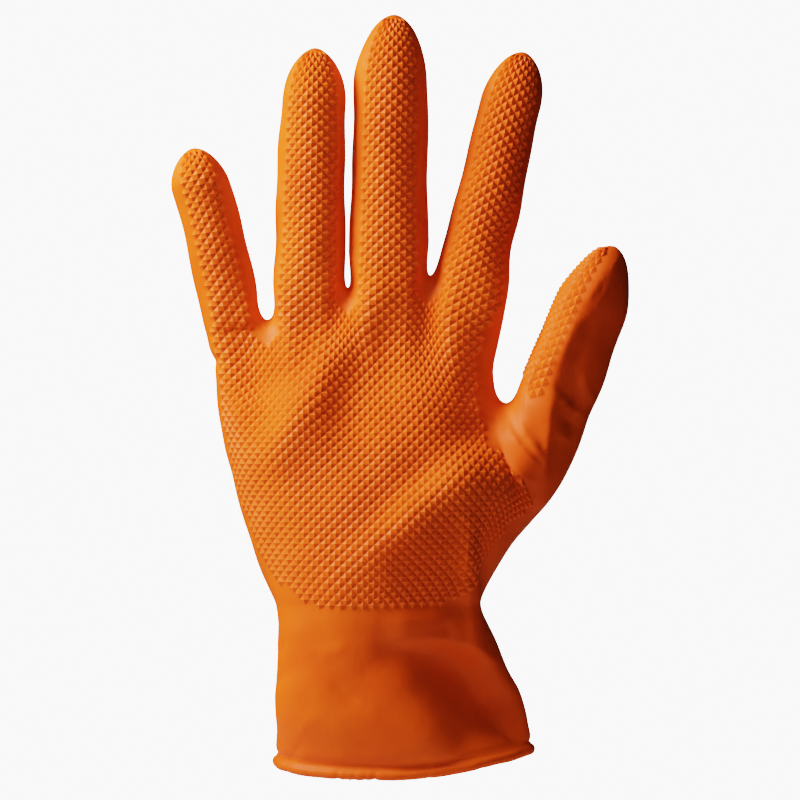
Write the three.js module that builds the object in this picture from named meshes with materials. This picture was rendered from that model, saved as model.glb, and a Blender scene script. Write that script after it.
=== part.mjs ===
// A heavy nitrile exam glove for the right hand, palm towards -Y, fingers up +Z, thumb at +X.
// The real glove is one dipped film with a rolled rim, so it is one hollow solid, open at the cuff.
// The origin is the centre of the cuff's mouth. Millimetres.
import * as THREE from 'three';

// Driving dimensions of the cuff and the palm
const WALL = 1.2;
const RIM_ROLL = 3.2;
const RIM_DROOP = 2.5;
const RIM_TILT = 4;
const CUFF_LENGTH = 51;
const CUFF_WIDTH = 82;
const CUFF_DEPTH = 43;
const PALM_LENGTH = 97;
const PALM_WIDTH = 90;
const PALM_DEPTH = 46;

// Driving dimensions of the fingers and the thumb, each length from its fork to its tip
const LITTLE_LENGTH = 59.3;
const LITTLE_WIDTH = 18.8;
const RING_LENGTH = 78.5;
const RING_WIDTH = 22.4;
const MIDDLE_LENGTH = 87.5;
const MIDDLE_WIDTH = 25.2;
const INDEX_LENGTH = 79;
const INDEX_WIDTH = 22;
const THUMB_LENGTH = 58.5;
const THUMB_WIDTH = 25.2;
const FINGER_FLATNESS = 0.88;
const WEB_ARCH = 5.5;

// Height of the tallest fold, and the reach of the widest one on either side of its line
const FOLD_HEIGHT = 5;
const FOLD_REACH = 12;

// Spacing of the mesh: columns of the grip, and rows in the cuff, the palm and the fingers
const GRIP_PITCH = 3.36;
const CUFF_ROW = 5.8;
const PALM_ROW = 4.8;
const FINGER_ROW = 4.9;

// Sections of the cuff from the rim to the wrist. up is a share of CUFF_LENGTH, left and right are
// shares of CUFF_WIDTH from the centre line, and front and back are shares of CUFF_DEPTH.
const CUFF_SECTIONS = [
  { up: 0.00, left: 0.498, right: 0.497, front: 0.49, back: 0.49 },
  { up: 0.18, left: 0.491, right: 0.480, front: 0.50, back: 0.49 },
  { up: 0.33, left: 0.488, right: 0.466, front: 0.51, back: 0.50 },
  { up: 0.48, left: 0.488, right: 0.444, front: 0.51, back: 0.50 },
  { up: 0.62, left: 0.478, right: 0.397, front: 0.51, back: 0.50 },
  { up: 0.77, left: 0.477, right: 0.350, front: 0.51, back: 0.50 },
  { up: 0.92, left: 0.484, right: 0.307, front: 0.525, back: 0.50 },
];

// Sections of the palm from the wrist to the knuckles. up is a share of PALM_LENGTH, left, right
// and hand are shares of PALM_WIDTH, where right takes in the thumb's root and hand leaves it out,
// and front and back are shares of PALM_DEPTH.
const PALM_SECTIONS = [
  { up: 0.000, left: 0.448, right: 0.270, hand: 0.270, front: 0.500, back: 0.47 },
  { up: 0.036, left: 0.464, right: 0.283, hand: 0.283, front: 0.512, back: 0.47 },
  { up: 0.114, left: 0.500, right: 0.326, hand: 0.320, front: 0.543, back: 0.46 },
  { up: 0.192, left: 0.532, right: 0.381, hand: 0.335, front: 0.568, back: 0.45 },
  { up: 0.270, left: 0.560, right: 0.444, hand: 0.345, front: 0.58, back: 0.44 },
  { up: 0.347, left: 0.584, right: 0.504, hand: 0.350, front: 0.57, back: 0.43 },
  { up: 0.426, left: 0.606, right: 0.563, hand: 0.350, front: 0.55, back: 0.41 },
  { up: 0.504, left: 0.630, right: 0.606, hand: 0.350, front: 0.52, back: 0.39 },
  { up: 0.621, left: 0.651, right: 0.658, hand: 0.335, front: 0.46, back: 0.37 },
  { up: 0.776, left: 0.671, right: 0.720, hand: 0.322, front: 0.40, back: 0.34 },
  { up: 0.855, left: 0.682, right: 0.740, hand: 0.335, front: 0.37, back: 0.32 },
  { up: 1.000, left: 0.706, right: 0.760, hand: 0.353, front: 0.32, back: 0.30 },
];

// Where the grip's columns lie at each height: their spacing on the front and on the back, as
// shares of GRIP_PITCH. up is a share of the whole length from the rim to the knuckles.
const COLUMN_SPACING = [
  { up: 0.00, front: 0.90, back: 0.84 },
  { up: 0.34, front: 0.90, back: 0.76 },
  { up: 0.42, front: 1.00, back: 0.82 },
  { up: 0.75, front: 1.00, back: 1.00 },
  { up: 1.00, front: 1.00, back: 1.00 },
];

// The line of the knuckles, where the palm parts into fingers. column counts the grip's columns
// from the little finger's outer edge, and up is a share of PALM_LENGTH.
const KNUCKLE_LINE = [
  { column: 0, up: 0.856 },
  { column: 6, up: 0.890 },
  { column: 14, up: 0.972 },
  { column: 22, up: 1.008 },
  { column: 30, up: 0.945 },
];

// The fingers. columns is how many grip columns the front strip has, and facets how many faces the
// mesh has across it. across and up place the middle of the root in shares of PALM_WIDTH and
// PALM_LENGTH, and lean is degrees from upright. Shares of the width are forward, the root's place
// towards the palm, curl, the tip's bend towards the palm, and bend, the tip's bend towards the
// thumb. flare is the width added at the root, taper the width lost by the tip, and tip the length
// of the rounded end in half widths.
const FINGERS = [
  { length: LITTLE_LENGTH, width: LITTLE_WIDTH, columns: 6, facets: 4,
    across: -0.586, up: 0.876, lean: -13.3, forward: 0.02,
    curl: 0.35, bend: 0.00, flare: -0.02, taper: 0.03, tip: 1.30 },
  { length: RING_LENGTH, width: RING_WIDTH, columns: 8, facets: 6,
    across: -0.330, up: 0.985, lean: 0.9, forward: 0.05,
    curl: 0.40, bend: 0.02, flare: 0.03, taper: 0.10, tip: 1.70 },
  { length: MIDDLE_LENGTH, width: MIDDLE_WIDTH, columns: 8, facets: 6,
    across: -0.055, up: 0.996, lean: 0.4, forward: 0.05,
    curl: 0.35, bend: 0.05, flare: 0.03, taper: 0.10, tip: 1.70 },
  { length: INDEX_LENGTH, width: INDEX_WIDTH, columns: 8, facets: 6,
    across: 0.219, up: 0.985, lean: 12.2, forward: 0.04,
    curl: 0.35, bend: 0.05, flare: 0.14, taper: 0.16, tip: 1.75 },
];
const THUMB = { length: THUMB_LENGTH, width: THUMB_WIDTH,
  across: 0.495, up: 0.588, lean: 21.6, forward: 0.16,
  curl: 0.25, bend: -0.02, flare: -0.04, taper: 0.16, tip: 1.85 };

// Folds and dents of the worn film on the palm side and the thumb. from and to are the ends of the
// fold's line, in shares of PALM_WIDTH across and PALM_LENGTH above the wrist. left and right are
// its reach on either side, as one walks from its start to its end, in shares of FOLD_REACH. high
// is a share of FOLD_HEIGHT, negative for a valley.
const PALM_FOLDS = [
  { from: [-0.09, 1.00], to: [-0.45, 0.49], left: 0.50, right: 0.50, high: 0.46 },
  { from: [0.05, 0.99], to: [-0.27, 0.40], left: 1.00, right: 0.85, high: -0.52 },
  { from: [0.22, 1.02], to: [0.10, 0.60], left: 0.80, right: 1.00, high: 0.24 },
  { from: [0.31, 0.95], to: [0.20, 0.62], left: 0.55, right: 0.55, high: -0.12 },
  { from: [0.40, 0.89], to: [0.29, 0.64], left: 0.35, right: 0.40, high: 0.24 },
  { from: [0.33, 0.52], to: [-0.21, 0.10], left: 0.75, right: 0.52, high: 0.52 },
  { from: [0.13, 0.50], to: [-0.16, 0.26], left: 0.45, right: 0.50, high: -0.18 },
  { from: [0.22, 0.27], to: [0.25, -0.14], left: 0.26, right: 0.30, high: 0.44 },
  { from: [-0.58, 0.93], to: [-0.50, 0.62], left: 0.45, right: 0.50, high: -0.34 },
  { from: [0.46, 0.45], to: [0.25, 0.09], left: 0.40, right: 0.60, high: -0.45 },
  { from: [0.70, 1.07], to: [0.515, 0.76], left: 0.42, right: 0.65, high: 0.36 },
  { from: [0.515, 0.76], to: [0.48, 0.36], left: 0.42, right: 0.60, high: 0.34 },
  { from: [0.335, 0.60], to: [0.46, 0.36], left: 0.50, right: 0.50, high: 0.45 },
];

// The broad ridge on the little finger's side of the cuff's front, in shares of CUFF_WIDTH across
// and CUFF_LENGTH above the rim
const CUFF_FOLDS = [
  { from: [-0.36, 1.05], to: [-0.36, 0.02], left: 2.20, right: 0.90, high: 0.95 },
];

// The large dent of the cuff's front. It falls from its crest to its valley, both in shares of
// CUFF_WIDTH from the centre line, by a depth that is a share of CUFF_DEPTH.
const CUFF_DENT = [
  { up: 0.020, crest: 0.244, valley: 0.478, deep: 0.000 },
  { up: 0.100, crest: 0.177, valley: 0.450, deep: 0.080 },
  { up: 0.157, crest: 0.128, valley: 0.430, deep: 0.135 },
  { up: 0.310, crest: 0.000, valley: 0.390, deep: 0.220 },
  { up: 0.463, crest: -0.080, valley: 0.350, deep: 0.245 },
  { up: 0.608, crest: -0.125, valley: 0.280, deep: 0.220 },
  { up: 0.700, crest: -0.140, valley: 0.200, deep: 0.150 },
  { up: 0.760, crest: -0.140, valley: 0.120, deep: 0.070 },
  { up: 0.810, crest: -0.130, valley: 0.040, deep: 0.000 },
];

// How much of the dent's depth the film regains beyond the valley, and in what distance
const DENT_RETURN = 0.95;
const DENT_RETURN_REACH = 11;

// The height of the thumb's fork, and where below it the thumb begins to stand out from the palm
const WRIST = CUFF_LENGTH;
const KNUCKLES = CUFF_LENGTH + PALM_LENGTH;
const FORK = CUFF_LENGTH + 0.575 * PALM_LENGTH;
const THUMB_START = CUFF_LENGTH + 0.34 * PALM_LENGTH;

// Roundness of the sections, 2 for an ellipse and more for a squarer oval. Fingers are squarer at
// the root by ROOT_SQUARENESS, which fades out along ROOT_FADE.
const PALM_ROUND = 2.25;
const DOME_ROUND = 1.75;
const FINGER_ROUND = 2;
const ROOT_SQUARENESS = 1;
const ROOT_FADE = 16;
const RING_SAMPLES = 180;

// The grip's columns: those of the fingers' front strips, those round the thumb's sides, and those
// of the palm's little finger side. The middle one runs straight up the palm, and GRIP_HALF of
// them on either side of it keep their spacing.
const PALM_COLUMNS = FINGERS.reduce((sum, finger) => sum + finger.columns, 0);
const THUMB_COLUMNS = 6;
const THUMB_OUTER_COLUMNS = 4;
const LITTLE_SIDE_COLUMNS = 2;
const GRIP_MIDDLE = PALM_COLUMNS / 2;
const GRIP_HALF = 12;
const PALM_GRIP_MIDDLE = -0.159 * PALM_WIDTH;
const WIDEST_STRIP = 1.3;

// The thumb's rows dip towards its outer side by THUMB_DIP, eased in over THUMB_EASE columns.
const THUMB_DIP = 0.43 * THUMB_WIDTH;
const THUMB_EASE = 8;

// How far from a web's line the skin is drawn smooth, how often, and how much each time
const WEB_REACH = 10;
const WEB_PASSES = 8;
const WEB_PULL = 0.6;
const ARCH_POWER = 0.8;

// A fold keeps this share of its height at its ends, and comes to its full height in this share of
// its length. It shows where the skin faces the palm side, from FACING_NONE to FACING_FULL.
const FOLD_END = 0.45;
const FOLD_RISE = 1 / 3;
const FACING_NONE = 0.1;
const FACING_FULL = 0.6;

// How far up the rim's droop and tilt are felt, how fast the droop gathers at the front, and the
// number of faces round the roll
const RIM_REACH = 0.45 * CUFF_LENGTH;
const DROOP_POWER = 1.5;
const ROLL_STEPS = 5;

// The mesh's own columns on each side of the thumb and beside the little finger, and the length of
// a rounded fingertip's skin for each millimetre of its height
const THUMB_STEPS = 4;
const SIDE_STEPS = 2;
const DOME_ARC = 1.25;

function mix(a, b, t) {
  return a + (b - a) * t;
}

function ease(t) {
  const s = Math.min(1, Math.max(0, t));
  return s * s * (3 - 2 * s);
}

// A smooth curve through one column of a table, by cubic pieces whose slopes follow the neighbours.
function curve(rows, key, column, x) {
  const last = rows.length - 1;
  let i = 0;
  while (i < last - 1 && x > rows[i + 1][key]) i += 1;
  const slope = (k) => {
    const a = rows[Math.max(0, k - 1)];
    const b = rows[Math.min(last, k + 1)];
    return (b[column] - a[column]) / (b[key] - a[key]);
  };
  const a = rows[i];
  const b = rows[i + 1];
  const span = b[key] - a[key];
  const t = Math.min(1, Math.max(0, (x - a[key]) / span));
  const t2 = t * t;
  const t3 = t2 * t;
  return (2 * t3 - 3 * t2 + 1) * a[column] + (t3 - 2 * t2 + t) * span * slope(i)
    + (3 * t2 - 2 * t3) * b[column] + (t3 - t2) * span * slope(i + 1);
}

const SECTIONS = [
  ...CUFF_SECTIONS.map((row) => ({
    z: row.up * CUFF_LENGTH,
    left: -row.left * CUFF_WIDTH,
    right: row.right * CUFF_WIDTH,
    hand: row.right * CUFF_WIDTH,
    front: row.front * CUFF_DEPTH,
    back: row.back * CUFF_DEPTH,
  })),
  ...PALM_SECTIONS.map((row) => ({
    z: WRIST + row.up * PALM_LENGTH,
    left: -row.left * PALM_WIDTH,
    right: row.right * PALM_WIDTH,
    hand: row.hand * PALM_WIDTH,
    front: row.front * PALM_DEPTH,
    back: row.back * PALM_DEPTH,
  })),
];

// One oval section of the hand at height z, with the thumb's root (edge 'right') or without it
// (edge 'hand'). The grip's columns keep their spacing along the front and the back, measured
// from the middle column, and the columns between them share out the two sides.
function ovalPoint(z, edge, knots, column) {
  const left = curve(SECTIONS, 'z', 'left', z);
  const right = curve(SECTIONS, 'z', edge, z);
  const front = curve(SECTIONS, 'z', 'front', z);
  const back = curve(SECTIONS, 'z', 'back', z);
  const middle = (left + right) / 2;
  const half = (right - left) / 2;
  const power = 2 / PALM_ROUND;
  const point = (t) => {
    const s = Math.sin(t);
    const c = Math.cos(t);
    return [middle + half * Math.sign(s) * Math.abs(s) ** power,
      -(c > 0 ? front : back) * Math.sign(c) * Math.abs(c) ** power];
  };
  const arcs = [0];
  let previous = point(0);
  for (let i = 1; i <= RING_SAMPLES; i += 1) {
    const next = point((2 * Math.PI * i) / RING_SAMPLES);
    arcs.push(arcs[i - 1] + Math.hypot(next[0] - previous[0], next[1] - previous[1]));
    previous = next;
  }
  const total = arcs[RING_SAMPLES];
  const arcAt = (t) => {
    const f = (t / (2 * Math.PI)) * RING_SAMPLES;
    const i = Math.floor(f);
    return i < 0 ? (f - i) * (arcs[RING_SAMPLES + i + 1] - arcs[RING_SAMPLES + i])
      + arcs[RING_SAMPLES + i] - total : mix(arcs[i], arcs[i + 1], f - i);
  };
  const share = (PALM_GRIP_MIDDLE - middle) / half;
  const turn = Math.asin(Math.sign(share) * Math.abs(share) ** (PALM_ROUND / 2));
  const level = z / KNUCKLES;
  const frontStep = GRIP_PITCH * curve(COLUMN_SPACING, 'up', 'front', level);
  const backStep = GRIP_PITCH * curve(COLUMN_SPACING, 'up', 'back', level);
  const frontArc = arcAt(turn);
  const backArc = arcAt(Math.PI - turn);
  const marks = [frontArc - GRIP_HALF * frontStep, frontArc + GRIP_HALF * frontStep,
    backArc - GRIP_HALF * backStep, backArc + GRIP_HALF * backStep,
    frontArc - GRIP_HALF * frontStep + total];
  const around = column < knots[0] ? column + knots[4] - knots[0] : column;
  let k = 0;
  while (k < 3 && around > knots[k + 1]) k += 1;
  const arc = mix(marks[k], marks[k + 1], (around - knots[k]) / (knots[k + 1] - knots[k]));
  const wrapped = ((arc % total) + total) % total;
  let i = 0;
  while (i < RING_SAMPLES - 1 && arcs[i + 1] < wrapped) i += 1;
  const t = (i + (wrapped - arcs[i]) / (arcs[i + 1] - arcs[i])) / RING_SAMPLES;
  const [x, y] = point(2 * Math.PI * t);
  return new THREE.Vector3(x, y, z);
}

// Column numbers round a ring: the wrist's ring takes in the thumb's root, the hand's does not.
const WRIST_RING = PALM_COLUMNS * 2 + THUMB_COLUMNS * 2 + THUMB_OUTER_COLUMNS + LITTLE_SIDE_COLUMNS;
const HAND_RING = PALM_COLUMNS * 2 + THUMB_COLUMNS + LITTLE_SIDE_COLUMNS;
function gripKnots(ring, side) {
  const first = GRIP_MIDDLE - GRIP_HALF;
  const second = GRIP_MIDDLE + GRIP_HALF;
  const third = PALM_COLUMNS + side + (PALM_COLUMNS - second);
  return [first, second, third, third + 2 * GRIP_HALF, first + ring];
}
const WRIST_KNOTS = gripKnots(WRIST_RING, THUMB_COLUMNS * 2 + THUMB_OUTER_COLUMNS);
const HAND_KNOTS = gripKnots(HAND_RING, THUMB_COLUMNS);

// Distance from the middle of a rounded oval to its edge, for a half width of 1
function ovalReach(turn, roundness) {
  const s = Math.abs(Math.sin(turn)) ** roundness;
  const c = Math.abs(Math.cos(turn)) ** roundness;
  return (s + c) ** (-1 / roundness);
}

// A finger or the thumb as a leaning tube with a domed end. up is the distance along its axis from
// its root, negative below it, and turn goes round from the front, positive towards the thumb's side.
function tubePoint(digit, up, turn, dome = 0) {
  const lean = THREE.MathUtils.degToRad(digit.lean);
  const share = Math.max(0, up) / digit.length;
  const flare = digit.flare * (1 - ease((up + ROOT_FADE / 2) / (2 * ROOT_FADE)));
  const half = (digit.width / 2) * (1 + flare - digit.taper * ease(share));
  const shrink = Math.max(0, Math.cos(dome)) ** (2 / DOME_ROUND);
  const wide = half * shrink;
  const deep = half * FINGER_FLATNESS * shrink;
  const reach = ovalReach(turn, FINGER_ROUND + ROOT_SQUARENESS * (1 - ease(up / ROOT_FADE)));
  const bend = digit.width * digit.bend * share ** 3;
  const across = bend + wide * reach * Math.sin(turn);
  const outward = deep * reach * Math.cos(turn);
  const y = -digit.width * (digit.forward + digit.curl * share * share);
  return new THREE.Vector3(
    digit.across * PALM_WIDTH + up * Math.sin(lean) + across * Math.cos(lean),
    y - outward,
    WRIST + digit.up * PALM_LENGTH + up * Math.cos(lean) - across * Math.sin(lean),
  );
}

// The distance along a digit's axis at which its skin at this turn reaches height z.
function upAt(digit, z, turn) {
  const lean = THREE.MathUtils.degToRad(digit.lean);
  const across = (digit.width / 2) * Math.sin(turn) * ovalReach(turn, FINGER_ROUND + ROOT_SQUARENESS);
  return (z - WRIST - digit.up * PALM_LENGTH + across * Math.sin(lean)) / Math.cos(lean);
}

// Half the angle that a finger's front strip takes round the finger.
function stripAngle(finger) {
  const radius = (finger.width * (1 + FINGER_FLATNESS)) / 4;
  return Math.min(WIDEST_STRIP, (finger.columns * GRIP_PITCH) / 2 / radius);
}

// The turn at which the thumb's ring passes a column of the wrist's ring.
const THUMB_RING = 2 * THUMB_COLUMNS + THUMB_OUTER_COLUMNS + THUMB_COLUMNS;
function thumbTurn(column) {
  const step = (2 * Math.PI) / THUMB_RING;
  return (column - PALM_COLUMNS - THUMB_COLUMNS - THUMB_OUTER_COLUMNS / 2) * step + Math.PI / 2;
}

function knuckleHeight(column) {
  return WRIST + PALM_LENGTH * curve(KNUCKLE_LINE, 'column', 'up', column);
}

// How high the web between two digits rises between its front and its back.
function arch(share) {
  return WEB_ARCH * Math.sin(Math.PI * share) ** ARCH_POWER;
}

// Where each finger's strip starts, counted in grip columns.
FINGERS.forEach((finger, k) => {
  finger.start = k === 0 ? 0 : FINGERS[k - 1].start + FINGERS[k - 1].columns;
  finger.strip = stripAngle(finger);
});

function frontTurn(finger, column) {
  return finger.strip * ((2 * (column - finger.start)) / finger.columns - 1);
}

function sideTurn(finger, share) {
  return mix(finger.strip, Math.PI - finger.strip, share);
}

// A point of the hand's ring moved onto the fingers, whose tubes reach down into the palm.
function fingerRootPoint(z, column) {
  const side = (column - PALM_COLUMNS) / THUMB_COLUMNS;
  const last = FINGERS[FINGERS.length - 1];
  const backStart = PALM_COLUMNS + THUMB_COLUMNS;
  const backEnd = backStart + PALM_COLUMNS;
  if (side > 0 && side < 1) {
    const turn = sideTurn(last, side);
    return tubePoint(last, upAt(last, z, turn), turn);
  }
  if (column > backEnd) {
    const turn = -sideTurn(FINGERS[0], 1 - (column - backEnd) / LITTLE_SIDE_COLUMNS);
    return tubePoint(FINGERS[0], upAt(FINGERS[0], z, turn), turn);
  }
  const onBack = column >= backStart;
  const c = onBack ? backEnd - column : column;
  const owners = FINGERS.filter((f) => c >= f.start && c <= f.start + f.columns);
  const sum = new THREE.Vector3();
  owners.forEach((finger) => {
    const turn = frontTurn(finger, c);
    const round = onBack ? Math.PI - turn : turn;
    sum.add(tubePoint(finger, upAt(finger, z, round), round));
  });
  return sum.divideScalar(owners.length);
}

// The skin between the wrist and the thumb's fork. share runs from the wrist to the fork.
function wristPoint(share, column) {
  const level = mix(WRIST, FORK, share);
  const frontEdge = WRIST_KNOTS[1];
  const backEdge = WRIST_KNOTS[2];
  const thumbward = ease((column - frontEdge) / THUMB_EASE) * ease((backEdge - column) / THUMB_EASE);
  const z = level - THUMB_DIP * ease(share) * thumbward;
  const whole = ovalPoint(z, 'right', WRIST_KNOTS, column);
  const blend = ease((level - THUMB_START) / (FORK - THUMB_START));
  if (blend === 0) return whole;
  const thumbEnd = WRIST_RING - PALM_COLUMNS - LITTLE_SIDE_COLUMNS;
  const parts = [];
  if (column <= PALM_COLUMNS) parts.push(ovalPoint(z, 'hand', HAND_KNOTS, column));
  if (column >= thumbEnd) {
    parts.push(ovalPoint(z, 'hand', HAND_KNOTS, column - THUMB_COLUMNS - THUMB_OUTER_COLUMNS));
  }
  if (column >= PALM_COLUMNS && column <= thumbEnd) {
    const turn = thumbTurn(column);
    parts.push(tubePoint(THUMB, upAt(THUMB, z, turn), turn));
  }
  const parted = new THREE.Vector3();
  parts.forEach((p) => parted.add(p));
  parted.divideScalar(parts.length);
  return whole.lerp(parted, blend);
}

// The skin between the thumb's fork and the knuckles. share runs from the fork to the knuckles.
function handPoint(share, column) {
  const backStart = PALM_COLUMNS + THUMB_COLUMNS;
  const onBack = column >= backStart;
  const c = onBack ? Math.max(0, backStart + PALM_COLUMNS - column) : Math.min(PALM_COLUMNS, column);
  const side = (column - PALM_COLUMNS) / THUMB_COLUMNS;
  const lift = side > 0 && side < 1 ? arch(side) : 0;
  const z = mix(FORK + lift, knuckleHeight(c), share);
  const palm = ovalPoint(z, 'hand', HAND_KNOTS, column);
  if (share === 0) {
    const thumbEnd = WRIST_RING - PALM_COLUMNS - LITTLE_SIDE_COLUMNS;
    const turn = thumbTurn(thumbEnd + (1 - side) * THUMB_COLUMNS);
    return palm.lerp(tubePoint(THUMB, upAt(THUMB, z, turn), turn), 0.5);
  }
  return palm.lerp(fingerRootPoint(z, column), ease(share));
}

const points = [];
const faces = [];

function addRing(ring) {
  return ring.map((p) => points.push(p) - 1);
}

// Joins two rings that have as many points each, the second above the first.
function stitch(lower, upper) {
  lower.forEach((a, j) => {
    const k = (j + 1) % lower.length;
    faces.push([a, lower[k], upper[k], upper[j]]);
  });
}

function close(ring, tip) {
  ring.forEach((a, j) => faces.push([a, ring[(j + 1) % ring.length], tip]));
}

// Even steps from one column to another, with the first and without the last.
function steps(from, to, count) {
  return Array.from({ length: count }, (_, i) => mix(from, to, i / count));
}

// The mesh's own columns round the rings
const palmColumns = FINGERS.flatMap((f) => steps(f.start, f.start + f.columns, f.facets));
const backOf = (from) => palmColumns.map((c, j) => (
  from + PALM_COLUMNS - (palmColumns[palmColumns.length - j] ?? PALM_COLUMNS)));
const thumbFront = PALM_COLUMNS + THUMB_COLUMNS;
const thumbOuter = thumbFront + THUMB_OUTER_COLUMNS;
const thumbBack = thumbOuter + THUMB_COLUMNS;
const wristColumns = [
  ...palmColumns,
  ...steps(PALM_COLUMNS, thumbFront, THUMB_STEPS),
  ...steps(thumbFront, thumbOuter, THUMB_STEPS),
  ...steps(thumbOuter, thumbBack, THUMB_STEPS),
  ...backOf(thumbBack),
  ...steps(thumbBack + PALM_COLUMNS, WRIST_RING, SIDE_STEPS),
];
const handColumns = [
  ...palmColumns,
  ...steps(PALM_COLUMNS, thumbFront, THUMB_STEPS),
  ...backOf(thumbFront),
  ...steps(thumbFront + PALM_COLUMNS, HAND_RING, SIDE_STEPS),
];

const LIP = RIM_ROLL / 2 + Math.sqrt((RIM_ROLL / 2) ** 2 - (WALL / 2) ** 2);
const cuffRows = Math.round((WRIST - LIP) / CUFF_ROW);
const palmRows = Math.round((FORK - WRIST) / PALM_ROW);
const handRows = Math.round((KNUCKLES - FORK) / PALM_ROW);

// The cuff and the palm up to the thumb's fork
let ring = addRing(wristColumns.map((c) => ovalPoint(LIP, 'right', WRIST_KNOTS, c)));
const rim = ring;
for (let i = 1; i <= cuffRows + palmRows; i += 1) {
  const next = addRing(wristColumns.map((c) => (i <= cuffRows
    ? ovalPoint(mix(LIP, WRIST, i / cuffRows), 'right', WRIST_KNOTS, c)
    : wristPoint((i - cuffRows) / palmRows, c))));
  stitch(ring, next);
  ring = next;
}

// The thumb's fork: the hand's ring and the thumb's ring share the web between them
const fronts = palmColumns.length;
const forkFront = ring.slice(0, fronts + 1);
const forkThumb = ring.slice(fronts, fronts + 3 * THUMB_STEPS + 1);
const forkRest = ring.slice(fronts + 3 * THUMB_STEPS);
const webColumns = handColumns.slice(fronts + 1, fronts + THUMB_STEPS);
const thumbWeb = addRing(webColumns.map((c) => handPoint(0, c)));
const webs = [[forkFront[fronts], ...thumbWeb, forkRest[0]]];
const thumbRing = [...forkThumb, ...thumbWeb.slice().reverse()];
ring = [...forkFront, ...thumbWeb, ...forkRest];
for (let i = 1; i <= handRows; i += 1) {
  const next = addRing(handColumns.map((c) => handPoint(i / handRows, c)));
  stitch(ring, next);
  ring = next;
}

// The rows of a digit from its root's ring to its tip.
function growDigit(digit, root, turns, heights) {
  const domeLength = (digit.tip * digit.width * (1 - digit.taper)) / 2;
  const shoulder = digit.length - domeLength;
  const rows = Math.max(2, Math.round(shoulder / FINGER_ROW));
  const domeRows = Math.max(3, Math.round((domeLength * DOME_ARC) / FINGER_ROW));
  let below = root;
  for (let i = 1; i <= rows; i += 1) {
    const next = addRing(turns.map((turn, j) => (
      tubePoint(digit, mix(upAt(digit, heights[j], turn), shoulder, i / rows), turn))));
    stitch(below, next);
    below = next;
  }
  for (let i = 1; i < domeRows; i += 1) {
    const dome = (Math.PI / 2) * (i / domeRows);
    const up = shoulder + domeLength * Math.sin(dome) ** (2 / DOME_ROUND);
    const next = addRing(turns.map((turn) => tubePoint(digit, up, turn, dome)));
    stitch(below, next);
    below = next;
  }
  const [tip] = addRing([tubePoint(digit, digit.length, 0, Math.PI / 2)]);
  close(below, tip);
}

const shares = (count) => steps(0, 1, count).slice(1);
const thumbTurns = [
  ...wristColumns.slice(fronts, fronts + 3 * THUMB_STEPS + 1),
  ...shares(THUMB_STEPS).map((s) => thumbBack + s * THUMB_COLUMNS),
].map(thumbTurn);
growDigit(THUMB, thumbRing, thumbTurns, thumbRing.map((id) => points[id].z));

// The webs between the fingers, then each finger on its own ring
const backs = ring.slice(fronts + THUMB_STEPS, fronts * 2 + THUMB_STEPS + 1).reverse();
const outerSide = ring.slice(fronts + 1, fronts + THUMB_STEPS);
const littleSide = ring.slice(2 * fronts + THUMB_STEPS + 1);
let start = 0;
let leftSide = littleSide;
FINGERS.forEach((finger, k) => {
  const end = start + finger.facets;
  const beside = FINGERS[k + 1];
  let rightSide = outerSide;
  if (beside) {
    const column = finger.start + finger.columns;
    rightSide = addRing(shares(SIDE_STEPS).map((s) => {
      const z = knuckleHeight(column) + arch(s);
      const turn = sideTurn(finger, s);
      const across = -sideTurn(beside, s);
      return tubePoint(finger, upAt(finger, z, turn), turn)
        .lerp(tubePoint(beside, upAt(beside, z, across), across), 0.5);
    }));
    webs.push([ring[end], ...rightSide, backs[end]]);
  }
  const front = ring.slice(start, end + 1);
  const back = backs.slice(start, end + 1).reverse();
  const root = [...front, ...rightSide, ...back, ...leftSide];
  const across = steps(finger.start, finger.start + finger.columns, finger.facets);
  const turns = [
    ...across.map((c) => frontTurn(finger, c)), finger.strip,
    ...shares(rightSide.length + 1).map((s) => sideTurn(finger, s)), Math.PI - finger.strip,
    ...across.map((c) => Math.PI + frontTurn(finger, c)).slice(1), Math.PI + finger.strip,
    ...shares(leftSide.length + 1).map((s) => Math.PI + sideTurn(finger, s)),
  ];
  growDigit(finger, root, turns, root.map((id) => points[id].z));
  leftSide = rightSide.slice().reverse();
  start = end;
});

// The web between two digits is drawn smooth, as the film is where it bridges them.
const neighbours = points.map(() => new Set());
faces.forEach((face) => face.forEach((a, j) => {
  const b = face[(j + 1) % face.length];
  neighbours[a].add(b);
  neighbours[b].add(a);
}));
const webPoints = webs.flat().map((id) => points[id].clone());
const softness = points.map((p) => {
  const nearest = Math.min(...webPoints.map((w) => w.distanceTo(p)));
  return 1 - ease(nearest / WEB_REACH);
});
for (let pass = 0; pass < WEB_PASSES; pass += 1) {
  const before = points.map((p) => p.clone());
  points.forEach((p, id) => {
    if (softness[id] === 0) return;
    const mean = new THREE.Vector3();
    neighbours[id].forEach((n) => mean.add(before[n]));
    mean.divideScalar(neighbours[id].size);
    p.lerp(mean, WEB_PULL * softness[id]);
  });
}

// The outward direction of the skin at each point.
function directions() {
  const result = points.map(() => new THREE.Vector3());
  faces.forEach((face) => {
    const normal = new THREE.Vector3();
    face.forEach((id, j) => normal.add(points[id].clone().cross(points[face[(j + 1) % face.length]])));
    face.forEach((id) => result[id].add(normal));
  });
  return result.map((n) => n.normalize());
}

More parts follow.
